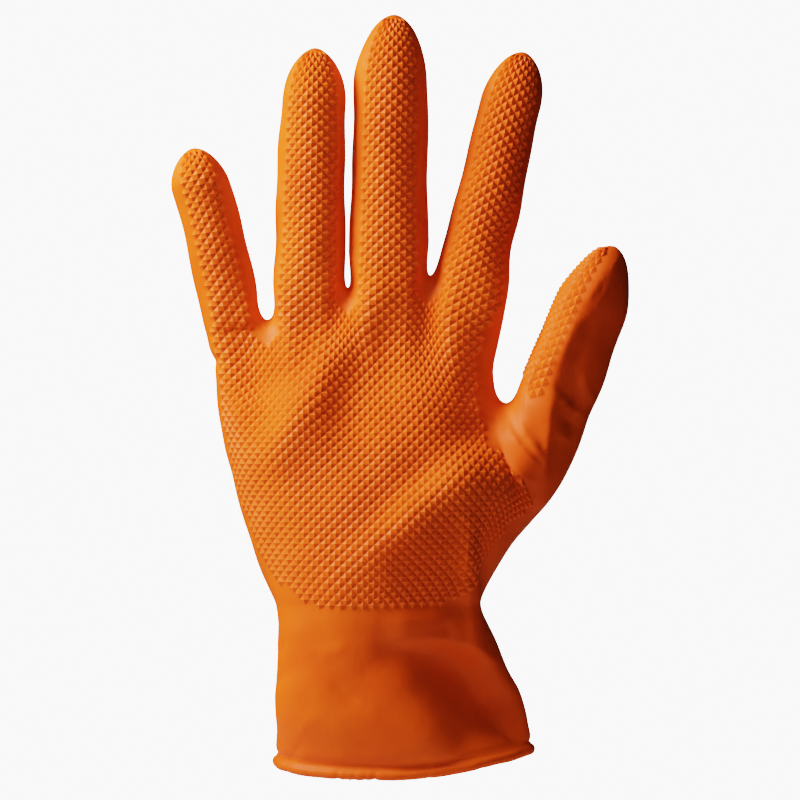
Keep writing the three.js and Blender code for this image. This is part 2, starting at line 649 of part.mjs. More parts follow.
// A fold is a rounded ridge or valley along a line. Its height fades towards both ends.
function foldHeight(fold, x, z) {
  const dx = fold.to[0] - fold.from[0];
  const dz = fold.to[1] - fold.from[1];
  const length = Math.hypot(dx, dz);
  const along = ((x - fold.from[0]) * dx + (z - fold.from[1]) * dz) / (length * length);
  const held = Math.min(1, Math.max(0, along));
  const beyond = (along - held) * length;
  const aside = ((x - fold.from[0]) * dz - (z - fold.from[1]) * dx) / length;
  const reach = aside > 0 ? fold.right : fold.left;
  const end = Math.min(fold.left, fold.right);
  const fade = mix(FOLD_END, 1, ease(Math.min(held, 1 - held) / FOLD_RISE));
  return fold.high * fade * Math.exp(-((aside / reach) ** 2) - (beyond / end) ** 2);
}

// The height of the cuff's dent: an eased fall from its crest to its valley and an eased return
function dentHeight(x, z) {
  const at = (column) => curve(CUFF_DENT, 'up', column, z / CUFF_LENGTH);
  const fall = ease((x / CUFF_WIDTH - at('crest')) / (at('valley') - at('crest')));
  const back = 1 - DENT_RETURN * ease((x - at('valley') * CUFF_WIDTH) / DENT_RETURN_REACH);
  return -Math.max(0, at('deep')) * CUFF_DEPTH * fall * back;
}

function sized(folds, width, base, length) {
  return folds.map((fold) => ({
    from: [fold.from[0] * width, base + fold.from[1] * length],
    to: [fold.to[0] * width, base + fold.to[1] * length],
    left: fold.left * FOLD_REACH,
    right: fold.right * FOLD_REACH,
    high: fold.high * FOLD_HEIGHT,
  }));
}
const folds = [
  ...sized(PALM_FOLDS, PALM_WIDTH, WRIST, PALM_LENGTH),
  ...sized(CUFF_FOLDS, CUFF_WIDTH, 0, CUFF_LENGTH),
];
directions().forEach((n, id) => {
  const p = points[id];
  const facing = ease((-n.y - FACING_NONE) / (FACING_FULL - FACING_NONE));
  const high = folds.reduce((sum, fold) => sum + foldHeight(fold, p.x, p.z), dentHeight(p.x, p.z));
  p.addScaledVector(n, high * facing);
});

// The rim hangs lower at the front and stands higher on the thumb's side.
points.forEach((p) => {
  const near = 1 - ease(p.z / RIM_REACH);
  const frontward = Math.max(0, -p.y / (CUFF_DEPTH / 2)) ** DROOP_POWER;
  const thumbward = ease(p.x / (CUFF_WIDTH / 2));
  p.z += near * (RIM_TILT * thumbward - RIM_DROOP * frontward);
});

// The inner face lies one wall inside the outer one, and its faces point the other way.
const outer = points.length;
const normals = directions();
const skinFaces = faces.slice();
normals.forEach((n, id) => points.push(points[id].clone().addScaledVector(n, -WALL)));
skinFaces.forEach((face) => faces.push(face.map((id) => id + outer).reverse()));

// The rolled rim joins the two faces, round a circle whose middle lies half a wall inside the skin.
const rollRadius = RIM_ROLL / 2;
const rollStart = Math.asin(WALL / 2 / rollRadius);
let roll = rim;
for (let i = 1; i <= ROLL_STEPS; i += 1) {
  const turn = mix(rollStart, 2 * Math.PI - rollStart, i / ROLL_STEPS);
  const next = i === ROLL_STEPS ? rim.map((id) => id + outer) : addRing(rim.map((id) => {
    const out = new THREE.Vector3(normals[id].x, normals[id].y, 0).normalize();
    return points[id].clone()
      .addScaledVector(out, rollRadius * Math.sin(turn) - WALL / 2)
      .add(new THREE.Vector3(0, 0, rollRadius * (Math.cos(turn) - Math.cos(rollStart))));
  }));
  stitch(next, roll);
  roll = next;
}

const triangles = faces.flatMap((f) => {
  if (f.length === 3) return f;
  const across = points[f[0]].distanceTo(points[f[2]]);
  const along = points[f[1]].distanceTo(points[f[3]]);
  return across < along ? [f[0], f[1], f[2], f[0], f[2], f[3]] : [f[0], f[1], f[3], f[1], f[2], f[3]];
});
const geometry = new THREE.BufferGeometry();
const coordinates = points.flatMap((p) => p.toArray());
geometry.setAttribute('position', new THREE.Float32BufferAttribute(coordinates, 3));
geometry.setIndex(triangles);
geometry.computeVertexNormals();

const film = new THREE.MeshStandardMaterial({ color: 0xe8702a, roughness: 0.48, metalness: 0 });
const glove = new THREE.Mesh(geometry, film);
glove.name = 'glove';

const model = new THREE.Group();
model.add(glove);
export default model;
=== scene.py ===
# %% [markdown]
# This notebook dresses a heavy nitrile exam glove for the right hand. The glove is held up as if it
# were worn: palm towards -Y, fingers up +Z, thumb at +X, and the origin in the middle of the cuff's
# mouth. The frame already holds the glove's plain shape from CAD. It is loaded first, because every
# surface that is made here has to lie where that shape lies.

# %% Load the frame
import math

import bpy
import numpy as np
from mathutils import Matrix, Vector


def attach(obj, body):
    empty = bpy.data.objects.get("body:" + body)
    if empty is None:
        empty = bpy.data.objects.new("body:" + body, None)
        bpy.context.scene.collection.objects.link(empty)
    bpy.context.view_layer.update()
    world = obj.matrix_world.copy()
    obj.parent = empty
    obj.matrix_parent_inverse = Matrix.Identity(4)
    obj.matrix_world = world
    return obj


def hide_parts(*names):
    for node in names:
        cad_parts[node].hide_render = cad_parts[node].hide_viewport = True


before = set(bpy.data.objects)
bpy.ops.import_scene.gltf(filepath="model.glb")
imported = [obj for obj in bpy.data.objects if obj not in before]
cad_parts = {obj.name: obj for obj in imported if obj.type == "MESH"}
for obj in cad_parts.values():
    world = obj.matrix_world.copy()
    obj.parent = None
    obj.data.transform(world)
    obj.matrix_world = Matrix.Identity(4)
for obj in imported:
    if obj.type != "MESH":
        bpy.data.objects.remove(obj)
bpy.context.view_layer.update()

# %% [markdown]
# A catalogue picture of a glove is taken from straight in front and from far away, so that the
# fingers keep their proportions. The camera stands 1.1 m away at half the glove's height, with a
# long lens whose frame is 252 mm wide at the glove.

# %% Place the camera
VIEW_DISTANCE = 1.1
VIEW_WIDTH = 0.252
VIEW_CENTRE = (-0.0013, 0.1150)

camera_data = bpy.data.cameras.new("camera")
camera_data.sensor_width = 36
camera_data.lens = 36 * VIEW_DISTANCE / VIEW_WIDTH
camera = bpy.data.objects.new("camera", camera_data)
camera.location = (VIEW_CENTRE[0], -VIEW_DISTANCE, VIEW_CENTRE[1])
camera.rotation_euler = (math.radians(90), 0, 0)
bpy.context.scene.collection.objects.link(camera)
bpy.context.scene.camera = camera
print("lens in mm:", round(camera_data.lens, 1))

# %% [markdown]
# The glove hangs in the air over a pale round floor. One soft light stands high on the left, a
# little in front, so that it grazes the grip and leaves the right flanks dark. Two weak ones, in
# front and above, open the shadows. Their light is cool, because a pure orange goes red in the
# shadows of a white fill light, and the real one goes brown. The world is white to the camera and
# nearly black to the glove, as a lit backdrop far behind the object is. The view has a high
# contrast, which keeps the orange one colour from its bright flanks to its dark ones, as in print.

# %% Light the scene
AIM = Vector((0.0, 0.0, 0.12))
LIGHTS = [
    # name, azimuth and elevation in degrees, distance and size in metres, watts, colour
    ("key", -68, 34, 0.50, 0.18, 4.9, (1.0, 1.0, 1.0)),
    ("fill", -14, 10, 1.20, 0.90, 0.52, (0.55, 1.0, 0.95)),
    ("top", -12, 58, 0.36, 0.30, 0.24, (0.85, 1.0, 1.0)),
]


def soft_light(name, azimuth, elevation, distance, size, watts, colour):
    """A square area light on a sphere round the aim, facing its middle."""
    a, e = math.radians(azimuth), math.radians(elevation)
    away = Vector((math.sin(a) * math.cos(e), -math.cos(a) * math.cos(e), math.sin(e)))
    data = bpy.data.lights.new(name, "AREA")
    data.size = size
    data.energy = watts
    data.color = colour
    lamp = bpy.data.objects.new(name, data)
    lamp.location = AIM + away * distance
    lamp.rotation_euler = away.to_track_quat("Z", "Y").to_euler()
    bpy.context.scene.collection.objects.link(lamp)


for light in LIGHTS:
    soft_light(*light)

world = bpy.data.worlds.new("white backdrop")
bpy.context.scene.world = world
world.use_nodes = True
sky = world.node_tree.nodes
to_glove = sky["Background"]
to_glove.inputs["Color"].default_value = (0.75, 0.98, 1.0, 1)
to_glove.inputs["Strength"].default_value = 0.03
to_camera = sky.new("ShaderNodeBackground")
to_camera.inputs["Color"].default_value = (1, 1, 1, 1)
to_camera.inputs["Strength"].default_value = 4.0
seen = sky.new("ShaderNodeLightPath")
either = sky.new("ShaderNodeMixShader")
links = world.node_tree.links
links.new(seen.outputs["Is Camera Ray"], either.inputs[0])
links.new(to_glove.outputs[0], either.inputs[1])
links.new(to_camera.outputs[0], either.inputs[2])
links.new(either.outputs[0], sky["World Output"].inputs["Surface"])
look = bpy.context.scene.view_settings
look.view_transform = "Filmic"
look.look = "High Contrast"
print("lights:", [light[0] for light in LIGHTS])

# %% [markdown]
# The floor is one round face below the rim. It is wide enough to catch the soft shadow, and so far
# down that the camera doesn't see it from straight in front.

# %% Lay the floor
FLOOR_BELOW = 0.06
FLOOR_RADIUS = 0.30
FLOOR_SIDES = 96

turn = np.linspace(0, 2 * np.pi, FLOOR_SIDES, endpoint=False)
edge = np.stack([np.cos(turn), np.sin(turn), np.zeros(FLOOR_SIDES)], -1) * FLOOR_RADIUS
edge[:, 2] = -FLOOR_BELOW
floor_mesh = bpy.data.meshes.new("floor")
floor_mesh.from_pydata(edge.tolist(), [], [list(range(FLOOR_SIDES))])
floor = bpy.data.objects.new("floor", floor_mesh)
floor_paint = bpy.data.materials.new("pale floor")
floor_paint.use_nodes = True
paint = floor_paint.node_tree.nodes["Principled BSDF"]
paint.inputs["Base Color"].default_value = (0.82, 0.82, 0.82, 1)
paint.inputs["Roughness"].default_value = 0.7
floor_mesh.materials.append(floor_paint)
bpy.context.scene.collection.objects.link(floor)
print("floor radius in mm:", FLOOR_RADIUS * 1000)

# %% [markdown]
# The real glove is dipped: a hand-shaped former goes into liquid nitrile, and the skin that stays
# on it is rolled off. So the whole glove is one skin, and the way to make it is to follow the
# former: a sleeve for the cuff, an oval for the palm and a tube for each finger. The sizes below
# are the glove's own, in millimetres, with tables whose rows are shares of them.

# %% Sizes of the glove
WALL = 1.2
RIM_ROLL = 3.2
RIM_DROOP = 2.5
RIM_TILT = 4.0
CUFF_LENGTH, CUFF_WIDTH, CUFF_DEPTH = 51.0, 82.0, 43.0
PALM_LENGTH, PALM_WIDTH, PALM_DEPTH = 97.0, 90.0, 46.0
WRIST = CUFF_LENGTH
KNUCKLES = CUFF_LENGTH + PALM_LENGTH
FORK = CUFF_LENGTH + 0.575 * PALM_LENGTH
THUMB_START = CUFF_LENGTH + 0.34 * PALM_LENGTH


def table(columns, *rows):
    """A table as one array for each named column."""
    return dict(zip(columns.split(), np.array(rows, float).T))


# Sections of the cuff: up is a share of its length, left and right of its width, and front and
# back of its depth.
CUFF = table(
    "up    left   right  front back",
    (0.00, 0.498, 0.497, 0.49, 0.49),
    (0.18, 0.491, 0.480, 0.50, 0.49),
    (0.33, 0.488, 0.466, 0.51, 0.50),
    (0.48, 0.488, 0.444, 0.51, 0.50),
    (0.62, 0.478, 0.397, 0.51, 0.50),
    (0.77, 0.477, 0.350, 0.51, 0.50),
    (0.92, 0.484, 0.307, 0.525, 0.50),
)

# Sections of the palm, where right takes in the thumb's root and hand leaves it out.
PALM = table(
    "up     left   right  hand   front back",
    (0.000, 0.448, 0.270, 0.270, 0.500, 0.47),
    (0.036, 0.464, 0.283, 0.283, 0.512, 0.47),
    (0.114, 0.500, 0.326, 0.320, 0.543, 0.46),
    (0.192, 0.532, 0.381, 0.335, 0.568, 0.45),
    (0.270, 0.560, 0.444, 0.345, 0.58, 0.44),
    (0.347, 0.584, 0.504, 0.350, 0.57, 0.43),
    (0.426, 0.606, 0.563, 0.350, 0.55, 0.41),
    (0.504, 0.630, 0.606, 0.350, 0.52, 0.39),
    (0.621, 0.651, 0.658, 0.335, 0.46, 0.37),
    (0.776, 0.671, 0.720, 0.322, 0.40, 0.34),
    (0.855, 0.682, 0.740, 0.335, 0.37, 0.32),
    (1.000, 0.706, 0.760, 0.353, 0.32, 0.30),
)
SECTIONS = {
    "z": np.r_[CUFF["up"] * CUFF_LENGTH, WRIST + PALM["up"] * PALM_LENGTH],
    "left": -np.r_[CUFF["left"] * CUFF_WIDTH, PALM["left"] * PALM_WIDTH],
    "right": np.r_[CUFF["right"] * CUFF_WIDTH, PALM["right"] * PALM_WIDTH],
    "hand": np.r_[CUFF["right"] * CUFF_WIDTH, PALM["hand"] * PALM_WIDTH],
    "front": np.r_[CUFF["front"] * CUFF_DEPTH, PALM["front"] * PALM_DEPTH],
    "back": np.r_[CUFF["back"] * CUFF_DEPTH, PALM["back"] * PALM_DEPTH],
}
print("wrist at", WRIST, "and knuckles at", KNUCKLES, "mm above the rim")

# %% [markdown]
# Between the rows of a table the shape has to run on smoothly, as a stretched film does. A cubic
# piece between each two rows does that, with slopes taken from the neighbouring rows. The second
# helper, the eased step, serves for every place where one form passes into another.

# %% Curves through a table


def ease(t):
    """0 up to t = 0 and 1 from t = 1, with the cubic 3 t^2 - 2 t^3 between."""
    s = np.clip(t, 0, 1)
    return s * s * (3 - 2 * s)


def curve(rows, key, column, x):
    """The cubic through a table's column: on each span two end values and two end slopes are
    blended, and a row's slope is that of the line through its two neighbours."""
    knots, values = rows[key], rows[column]
    slopes = np.gradient(values)
    spans = np.gradient(knots)
    slopes = slopes / spans
    i = np.clip(np.searchsorted(knots, x, side="right") - 1, 0, len(knots) - 2)
    span = knots[i + 1] - knots[i]
    t = np.clip((x - knots[i]) / span, 0, 1)
    rise = 3 * t**2 - 2 * t**3
    return (
        values[i] * (1 - rise)
        + values[i + 1] * rise
        + span * (slopes[i] * (t**3 - 2 * t**2 + t) + slopes[i + 1] * (t**3 - t**2))
    )


def power_of(value, exponent):
    """|value| to the exponent, with the sign of value."""
    return np.sign(value) * np.abs(value) ** exponent


print("palm width half way up:", round(float(curve(SECTIONS, "z", "right", 100.0)), 1))

# %% [markdown]
# The grip is a lattice of small pyramids. It was cut into the former, so its columns run straight
# up the palm and on up each finger at an even spacing. If the mesh's own columns are the grip's
# columns, each pyramid can be modelled with a handful of faces and stays crisp. So a point of the
# palm isn't placed by its angle but by its column: along the front and the back the columns keep
# their spacing in millimetres of skin, and the sides share out what is left.

# %% Palm and cuff as ovals with numbered columns
GRIP_PITCH = 3.36
ROW_PITCH = 3.28
PALM_COLUMNS = 30
THUMB_COLUMNS = 6
THUMB_OUTER_COLUMNS = 4
LITTLE_SIDE_COLUMNS = 2
GRIP_MIDDLE = PALM_COLUMNS / 2
GRIP_HALF = 12
PALM_GRIP_MIDDLE = -0.159 * PALM_WIDTH
PALM_ROUND = 2.25
RING_SAMPLES = 180
COLUMN_SPACING = table(
    "up    front back",
    (0.00, 0.90, 0.84),
    (0.34, 0.90, 0.76),
    (0.42, 1.00, 0.82),
    (0.75, 1.00, 1.00),
    (1.00, 1.00, 1.00),
)
WRIST_RING = 2 * PALM_COLUMNS + 2 * THUMB_COLUMNS + THUMB_OUTER_COLUMNS + LITTLE_SIDE_COLUMNS
HAND_RING = 2 * PALM_COLUMNS + THUMB_COLUMNS + LITTLE_SIDE_COLUMNS


def grip_knots(ring, side):
    """The columns at which the even spacing starts and ends, on the front and on the back."""
    first, second = GRIP_MIDDLE - GRIP_HALF, GRIP_MIDDLE + GRIP_HALF
    third = PALM_COLUMNS + side + PALM_COLUMNS - second
    return np.array([first, second, third, third + 2 * GRIP_HALF, first + ring])


WRIST_KNOTS = grip_knots(WRIST_RING, 2 * THUMB_COLUMNS + THUMB_OUTER_COLUMNS)
HAND_KNOTS = grip_knots(HAND_RING, THUMB_COLUMNS)


def pick(values, index):
    """One value from the last axis of an array for each entry of index."""
    return np.take_along_axis(values, index[..., None], -1)[..., 0]


def oval(z, edge, knots, column):
    """A point of the hand's section at height z. The section is a rounded oval,
    |x / half|^2.25 + |y / depth|^2.25 = 1, with its own depth in front and behind. Its length
    round is summed in 180 steps, and the column says how far along that length the point lies."""
    z, column = np.broadcast_arrays(np.asarray(z, float), np.asarray(column, float))
    left, right, front, back = (curve(SECTIONS, "z", n, z) for n in ("left", edge, "front", "back"))
    middle, half = (left + right) / 2, (right - left) / 2

    def point(turn, half, front, back):
        s, c = np.sin(turn), np.cos(turn)
        depth = np.where(c > 0, front, back)
        return half * power_of(s, 2 / PALM_ROUND), -depth * power_of(c, 2 / PALM_ROUND)

    turns = np.linspace(0, 2 * np.pi, RING_SAMPLES + 1)
    x, y = point(turns, half[..., None], front[..., None], back[..., None])
    steps = np.hypot(np.diff(x), np.diff(y))
    arcs = np.concatenate([np.zeros(z.shape + (1,)), np.cumsum(steps, -1)], -1)
    total = arcs[..., -1]

    def arc_at(turn):
        f = turn / (2 * np.pi) * RING_SAMPLES
        i = np.floor(f).astype(int)
        lap, i_in = i // RING_SAMPLES, i % RING_SAMPLES
        low, high = pick(arcs, i_in), pick(arcs, i_in + 1)
        return lap * total + low + (high - low) * (f - i)

    middle_turn = np.arcsin(power_of((PALM_GRIP_MIDDLE - middle) / half, PALM_ROUND / 2))
    level = z / KNUCKLES
    front_reach = GRIP_HALF * GRIP_PITCH * curve(COLUMN_SPACING, "up", "front", level)
    back_reach = GRIP_HALF * GRIP_PITCH * curve(COLUMN_SPACING, "up", "back", level)
    front_arc, back_arc = arc_at(middle_turn), arc_at(np.pi - middle_turn)
    marks = np.stack([
        front_arc - front_reach, front_arc + front_reach,
        back_arc - back_reach, back_arc + back_reach, front_arc - front_reach + total,
    ], -1)
    around = np.where(column < knots[0], column + knots[4] - knots[0], column)
    k = np.clip(np.searchsorted(knots, around, side="right") - 1, 0, 3)
    share = (around - knots[k]) / (knots[k + 1] - knots[k])
    arc = (pick(marks, k) * (1 - share) + pick(marks, k + 1) * share) % total
    i = np.clip((arcs[..., 1:] < arc[..., None]).sum(-1), 0, RING_SAMPLES - 1)
    t = (i + (arc - pick(arcs, i)) / (pick(arcs, i + 1) - pick(arcs, i))) / RING_SAMPLES
    x, y = point(2 * np.pi * t, half, front, back)
    return np.stack([x + middle, y, z], -1)


sample = oval(np.full(5, 100.0), "hand", HAND_KNOTS, np.array([3.0, 9, 15, 21, 27]))
print("column spacing on the palm:", np.round(np.linalg.norm(np.diff(sample, axis=0), axis=1) / 6, 2))

# %% [markdown]
# A finger of the former is a leaning tube, a little flatter than it is wide, and squarer near its
# root, where it comes out of the palm. It narrows and bends slightly towards its tip, which is a
# rounded dome. Its point is given by the distance up the axis, the turn round it, and on the dome
# a third number, the angle from the dome's foot to its top.

# %% Fingers and thumb as tubes
FINGER_FLATNESS = 0.88
FINGER_ROUND = 2
ROOT_SQUARENESS = 1
ROOT_FADE = 16.0
DOME_ROUND = 1.75
WIDEST_STRIP = 1.3
DIGIT_COLUMNS = "length width columns across up lean forward curl bend flare taper tip"
DIGITS = table(
    DIGIT_COLUMNS,
    (59.3, 18.8, 6, -0.586, 0.876, -13.3, 0.02, 0.35, 0.00, -0.02, 0.03, 1.30),
    (78.5, 22.4, 8, -0.330, 0.985, 0.9, 0.05, 0.40, 0.02, 0.03, 0.10, 1.70),
    (87.5, 25.2, 8, -0.055, 0.996, 0.4, 0.05, 0.35, 0.05, 0.03, 0.10, 1.70),
    (79.0, 22.0, 8, 0.219, 0.985, 12.2, 0.04, 0.35, 0.05, 0.14, 0.16, 1.75),
    (58.5, 25.2, 0, 0.495, 0.588, 21.6, 0.16, 0.25, -0.02, -0.04, 0.16, 1.85),
)
LITTLE, RING, MIDDLE, INDEX, THUMB = (
    {name: DIGITS[name][k] for name in DIGIT_COLUMNS.split()} for k in range(5)
)
FINGERS = [LITTLE, RING, MIDDLE, INDEX]
for digit, name in zip(FINGERS + [THUMB], ("little", "ring", "middle", "index", "thumb")):
    digit["name"] = name
for k, finger in enumerate(FINGERS):
    finger["start"] = sum(f["columns"] for f in FINGERS[:k])
    finger["end"] = finger["start"] + finger["columns"]
    radius = finger["width"] * (1 + FINGER_FLATNESS) / 4
    finger["strip"] = min(WIDEST_STRIP, finger["columns"] * GRIP_PITCH / 2 / radius)


def oval_reach(turn, roundness):
    """Distance from the middle of a rounded oval |x|^n + |y|^n = 1 to its edge, at a turn."""
    return (np.abs(np.sin(turn)) ** roundness + np.abs(np.cos(turn)) ** roundness) ** (-1 / roundness)


def tube(digit, up, turn, dome=0.0):
    """A point of a digit's skin. Across its axis the tube is a rounded oval of the digit's width,
    and turn 0 faces the palm side. The dome shrinks it by cos(dome)^(2 / 1.75)."""
    up, turn, dome = np.broadcast_arrays(up, turn, dome)
    width, lean = digit["width"], np.radians(digit["lean"])
    share = np.maximum(0, up) / digit["length"]
    flare = digit["flare"] * (1 - ease((up + ROOT_FADE / 2) / (2 * ROOT_FADE)))
    half = width / 2 * (1 + flare - digit["taper"] * ease(share))
    half = half * np.maximum(0, np.cos(dome)) ** (2 / DOME_ROUND)
    reach = half * oval_reach(turn, FINGER_ROUND + ROOT_SQUARENESS * (1 - ease(up / ROOT_FADE)))
    across = width * digit["bend"] * share**3 + reach * np.sin(turn)
    outward = reach * FINGER_FLATNESS * np.cos(turn)
    return np.stack([
        digit["across"] * PALM_WIDTH + up * np.sin(lean) + across * np.cos(lean),
        -width * (digit["forward"] + digit["curl"] * share**2) - outward,
        WRIST + digit["up"] * PALM_LENGTH + up * np.cos(lean) - across * np.sin(lean),
    ], -1)


def up_at(digit, z, turn):
    """How far up the digit's axis its skin reaches height z at this turn."""
    lean = np.radians(digit["lean"])
    across = digit["width"] / 2 * np.sin(turn) * oval_reach(turn, FINGER_ROUND + ROOT_SQUARENESS)
    return (z - WRIST - digit["up"] * PALM_LENGTH + across * np.sin(lean)) / np.cos(lean)


def side_turn(finger, share):
    """The turn of a finger's side, from its front strip at share 0 to its back one at share 1."""
    return finger["strip"] + (np.pi - 2 * finger["strip"]) * share


print("front strips in degrees:", [round(math.degrees(2 * f["strip"])) for f in FINGERS])

# %% [markdown]
# Now the forms meet. From the wrist to the thumb's fork the oval parts into a palm and a thumb, and
# from the fork to the knuckles the palm parts into fingers. In both places the skin is a blend of
# the two forms, eased from one to the other. Where two fingers meet, the skin lies half way
# between their tubes.

# %% Skin between the wrist and the knuckles
THUMB_DIP = 0.43 * THUMB["width"]
THUMB_EASE = 8
THUMB_SEAM = 1.5
KNUCKLE_LINE = table("column up", (0, 0.856), (6, 0.890), (14, 0.972), (22, 1.008), (30, 0.945))
THUMB_STEP = 2 * np.pi / (3 * THUMB_COLUMNS + THUMB_OUTER_COLUMNS)
BACK_START = PALM_COLUMNS + THUMB_COLUMNS


def knuckle_height(column):
    """The height at which the palm has parted into fingers, at a column of the grip."""
    return WRIST + PALM_LENGTH * curve(KNUCKLE_LINE, "column", "up", column)


def thumb_turn(column):
    """The turn round the thumb that belongs to a column of the wrist's ring."""
    return (column - BACK_START - THUMB_OUTER_COLUMNS / 2) * THUMB_STEP + np.pi / 2


def wrist_skin(share, column):
    """Skin from the wrist, share 0, to the thumb's fork, share 1: the whole oval, then a blend
    into the hand's oval and the thumb's tube. The rows dip on the thumb's side."""
    share, column = np.broadcast_arrays(share, column)
    level = WRIST + (FORK - WRIST) * share
    thumbward = ease((column - WRIST_KNOTS[1]) / THUMB_EASE)
    thumbward = thumbward * ease((WRIST_KNOTS[2] - column) / THUMB_EASE)
    z = level - THUMB_DIP * ease(share) * thumbward
    whole = oval(z, "right", WRIST_KNOTS, column)
    last = WRIST_RING - PALM_COLUMNS - LITTLE_SIDE_COLUMNS
    hand_column = np.where(column < (PALM_COLUMNS + last) / 2, column, column - last + BACK_START)
    on_hand = oval(z, "hand", HAND_KNOTS, hand_column)
    turn = thumb_turn(column)
    on_thumb = tube(THUMB, up_at(THUMB, z, turn), turn)
    thumb = ease((column - PALM_COLUMNS + THUMB_SEAM) / (2 * THUMB_SEAM))
    thumb = thumb * ease((last - column + THUMB_SEAM) / (2 * THUMB_SEAM))
    parted = on_hand + (on_thumb - on_hand) * thumb[..., None]
    blend = ease((level - THUMB_START) / (FORK - THUMB_START))
    return whole + (parted - whole) * blend[..., None]


def finger_roots(z, column, back):
    """Skin of the fingers' tubes at height z, averaged where a column belongs to two fingers."""
    total, owners = 0, 0
    for finger in FINGERS:
        mine = ((column >= finger["start"]) & (column <= finger["end"]))[..., None]
        turn = finger["strip"] * (2 * (column - finger["start"]) / finger["columns"] - 1)
        turn = np.pi - turn if back else turn
        total = total + mine * tube(finger, up_at(finger, z, turn), turn)
        owners = owners + mine
    return total / owners


def hand_skin(z, column, back=False):
    """Skin from the fork to the knuckles on the front or the back: the hand's oval, eased into the
    fingers' roots. column counts from the little finger's edge on both faces."""
    z, column = np.broadcast_arrays(z, column)
    palm = oval(z, "hand", HAND_KNOTS, HAND_RING - LITTLE_SIDE_COLUMNS - column if back else column)
    parting = ease((z - FORK) / (knuckle_height(column) - FORK))[..., None]
    return palm + (finger_roots(z, column, back) - palm) * parting


def side_skin(z, share, finger, towards_thumb):
    """Skin of the hand's thumb side or little finger side, share 0 at the front and 1 behind."""
    z, share = np.broadcast_arrays(z, share)
    if towards_thumb:
        column, knuckle = PALM_COLUMNS + THUMB_COLUMNS * share, knuckle_height(PALM_COLUMNS)
    else:
        column, knuckle = HAND_RING - LITTLE_SIDE_COLUMNS * share, knuckle_height(0)
    palm = oval(z, "hand", HAND_KNOTS, column)
    turn = side_turn(finger, share) * (1 if towards_thumb else -1)
    parting = ease((z - FORK) / (knuckle - FORK))[..., None]
    return palm + (tube(finger, up_at(finger, z, turn), turn) - palm) * parting


print("fork at", round(FORK, 1), "and knuckles at", round(float(knuckle_height(18.0)), 1), "mm")

# %% [markdown]
# The mesh is grown like the real film on its former, from the cuff up: rings of points, four for
# each column of the grip, and four rows for each row of pyramids. A ring splits where the thumb
# and then each finger leaves the hand, and the two halves share the points of the web between
# them. Everything is kept as grids of point numbers, so that a coarser copy for the inner face is
# simply every fourth row and column of them.

# %% Grow the skin up to the thumb's fork
FINE = 4
ROW = ROW_PITCH / FINE
WEB_ARCH = 5.5
CUFF_ROWS = 40
WRIST_ROWS = 17 * FINE
LIP = RIM_ROLL / 2 + math.sqrt((RIM_ROLL / 2) ** 2 - (WALL / 2) ** 2)
# The column of points that carry no grip, such as those of the webs
NO_GRIP = -9

parts = []
grids = []
tips = []
made = 0


def add(points, column, row, digit=-1):
    """Keeps points with their grip column, grip row and digit, and returns their numbers."""
    global made
    points = np.asarray(points, float)
    shape = points.shape[:-1]
    count = int(np.prod(shape))
    facts = [np.broadcast_to(np.asarray(f, float), shape).ravel() for f in (column, row, digit)]
    parts.append(np.column_stack([points.reshape(-1, 3), *facts]))
    ids = np.arange(made, made + count).reshape(shape)
    made += count
    return ids


def closed(ids):
    """A grid of closed rings, with each ring's first point repeated at its end."""
    return np.concatenate([ids, ids[:, :1]], 1)


def mirrored(column, ring):
    """The palm-side column that lies opposite a column of the back."""
    return np.minimum(column, ring - LITTLE_SIDE_COLUMNS - column)


wrist_columns = np.arange(WRIST_RING * FINE) / FINE
cuff_up = np.linspace(LIP, WRIST, CUFF_ROWS + 1)[:, None]
cuff_ids = add(
    oval(cuff_up, "right", WRIST_KNOTS, wrist_columns),
    mirrored(wrist_columns, WRIST_RING), (cuff_up - WRIST) / ROW_PITCH,
)
wrist_rows = np.arange(1, WRIST_ROWS + 1)[:, None]
wrist_ids = add(
    wrist_skin(wrist_rows / WRIST_ROWS, wrist_columns),
    mirrored(wrist_columns, WRIST_RING), wrist_rows / FINE,
)
sleeve = np.concatenate([cuff_ids, wrist_ids])
grids.append(closed(sleeve))
print("cuff and lower palm:", sleeve.shape)

# %% [markdown]
# At the fork the ring is cut in two. The web is the bridge that both new rings share. It runs from
# the front to the back, and it rises half way, as the skin between thumb and hand does.

# %% Part the thumb from the hand


def arch(share):
    """How far the web between two digits rises half way between its front and its back."""
    return WEB_ARCH * np.sin(np.pi * share)


def inner_shares(pitches):
    """Shares across a web of so many grip columns, without its two ends."""
    return np.arange(1, pitches * FINE) / (pitches * FINE)


WEB_COLUMNS = 2
fork = sleeve[-1]
fork_row = WRIST_ROWS / FINE
fork_shares = inner_shares(THUMB_COLUMNS)
fork_z = FORK + arch(fork_shares)
thumb_side = side_skin(fork_z, fork_shares, INDEX, True)
web_turn = thumb_turn(WRIST_RING - PALM_COLUMNS - LITTLE_SIDE_COLUMNS + (1 - fork_shares) * THUMB_COLUMNS)
between = (thumb_side + tube(THUMB, up_at(THUMB, fork_z, web_turn), web_turn)) / 2
thumb_web = add(between, NO_GRIP, fork_row)
front_end = PALM_COLUMNS * FINE
rear_start = (WRIST_RING - PALM_COLUMNS - LITTLE_SIDE_COLUMNS) * FINE
thumb_ring = np.concatenate([fork[front_end:rear_start + 1], thumb_web[::-1]])
webs = [np.r_[fork[front_end], thumb_web, fork[rear_start]]]
hand_ring = {
    "front": fork[:front_end + 1],
    "right": thumb_web,
    "back": fork[rear_start:rear_start + front_end + 1][::-1],
    "left": fork[rear_start + front_end + 1:][::-1],
}
print("points round the thumb:", len(thumb_ring))

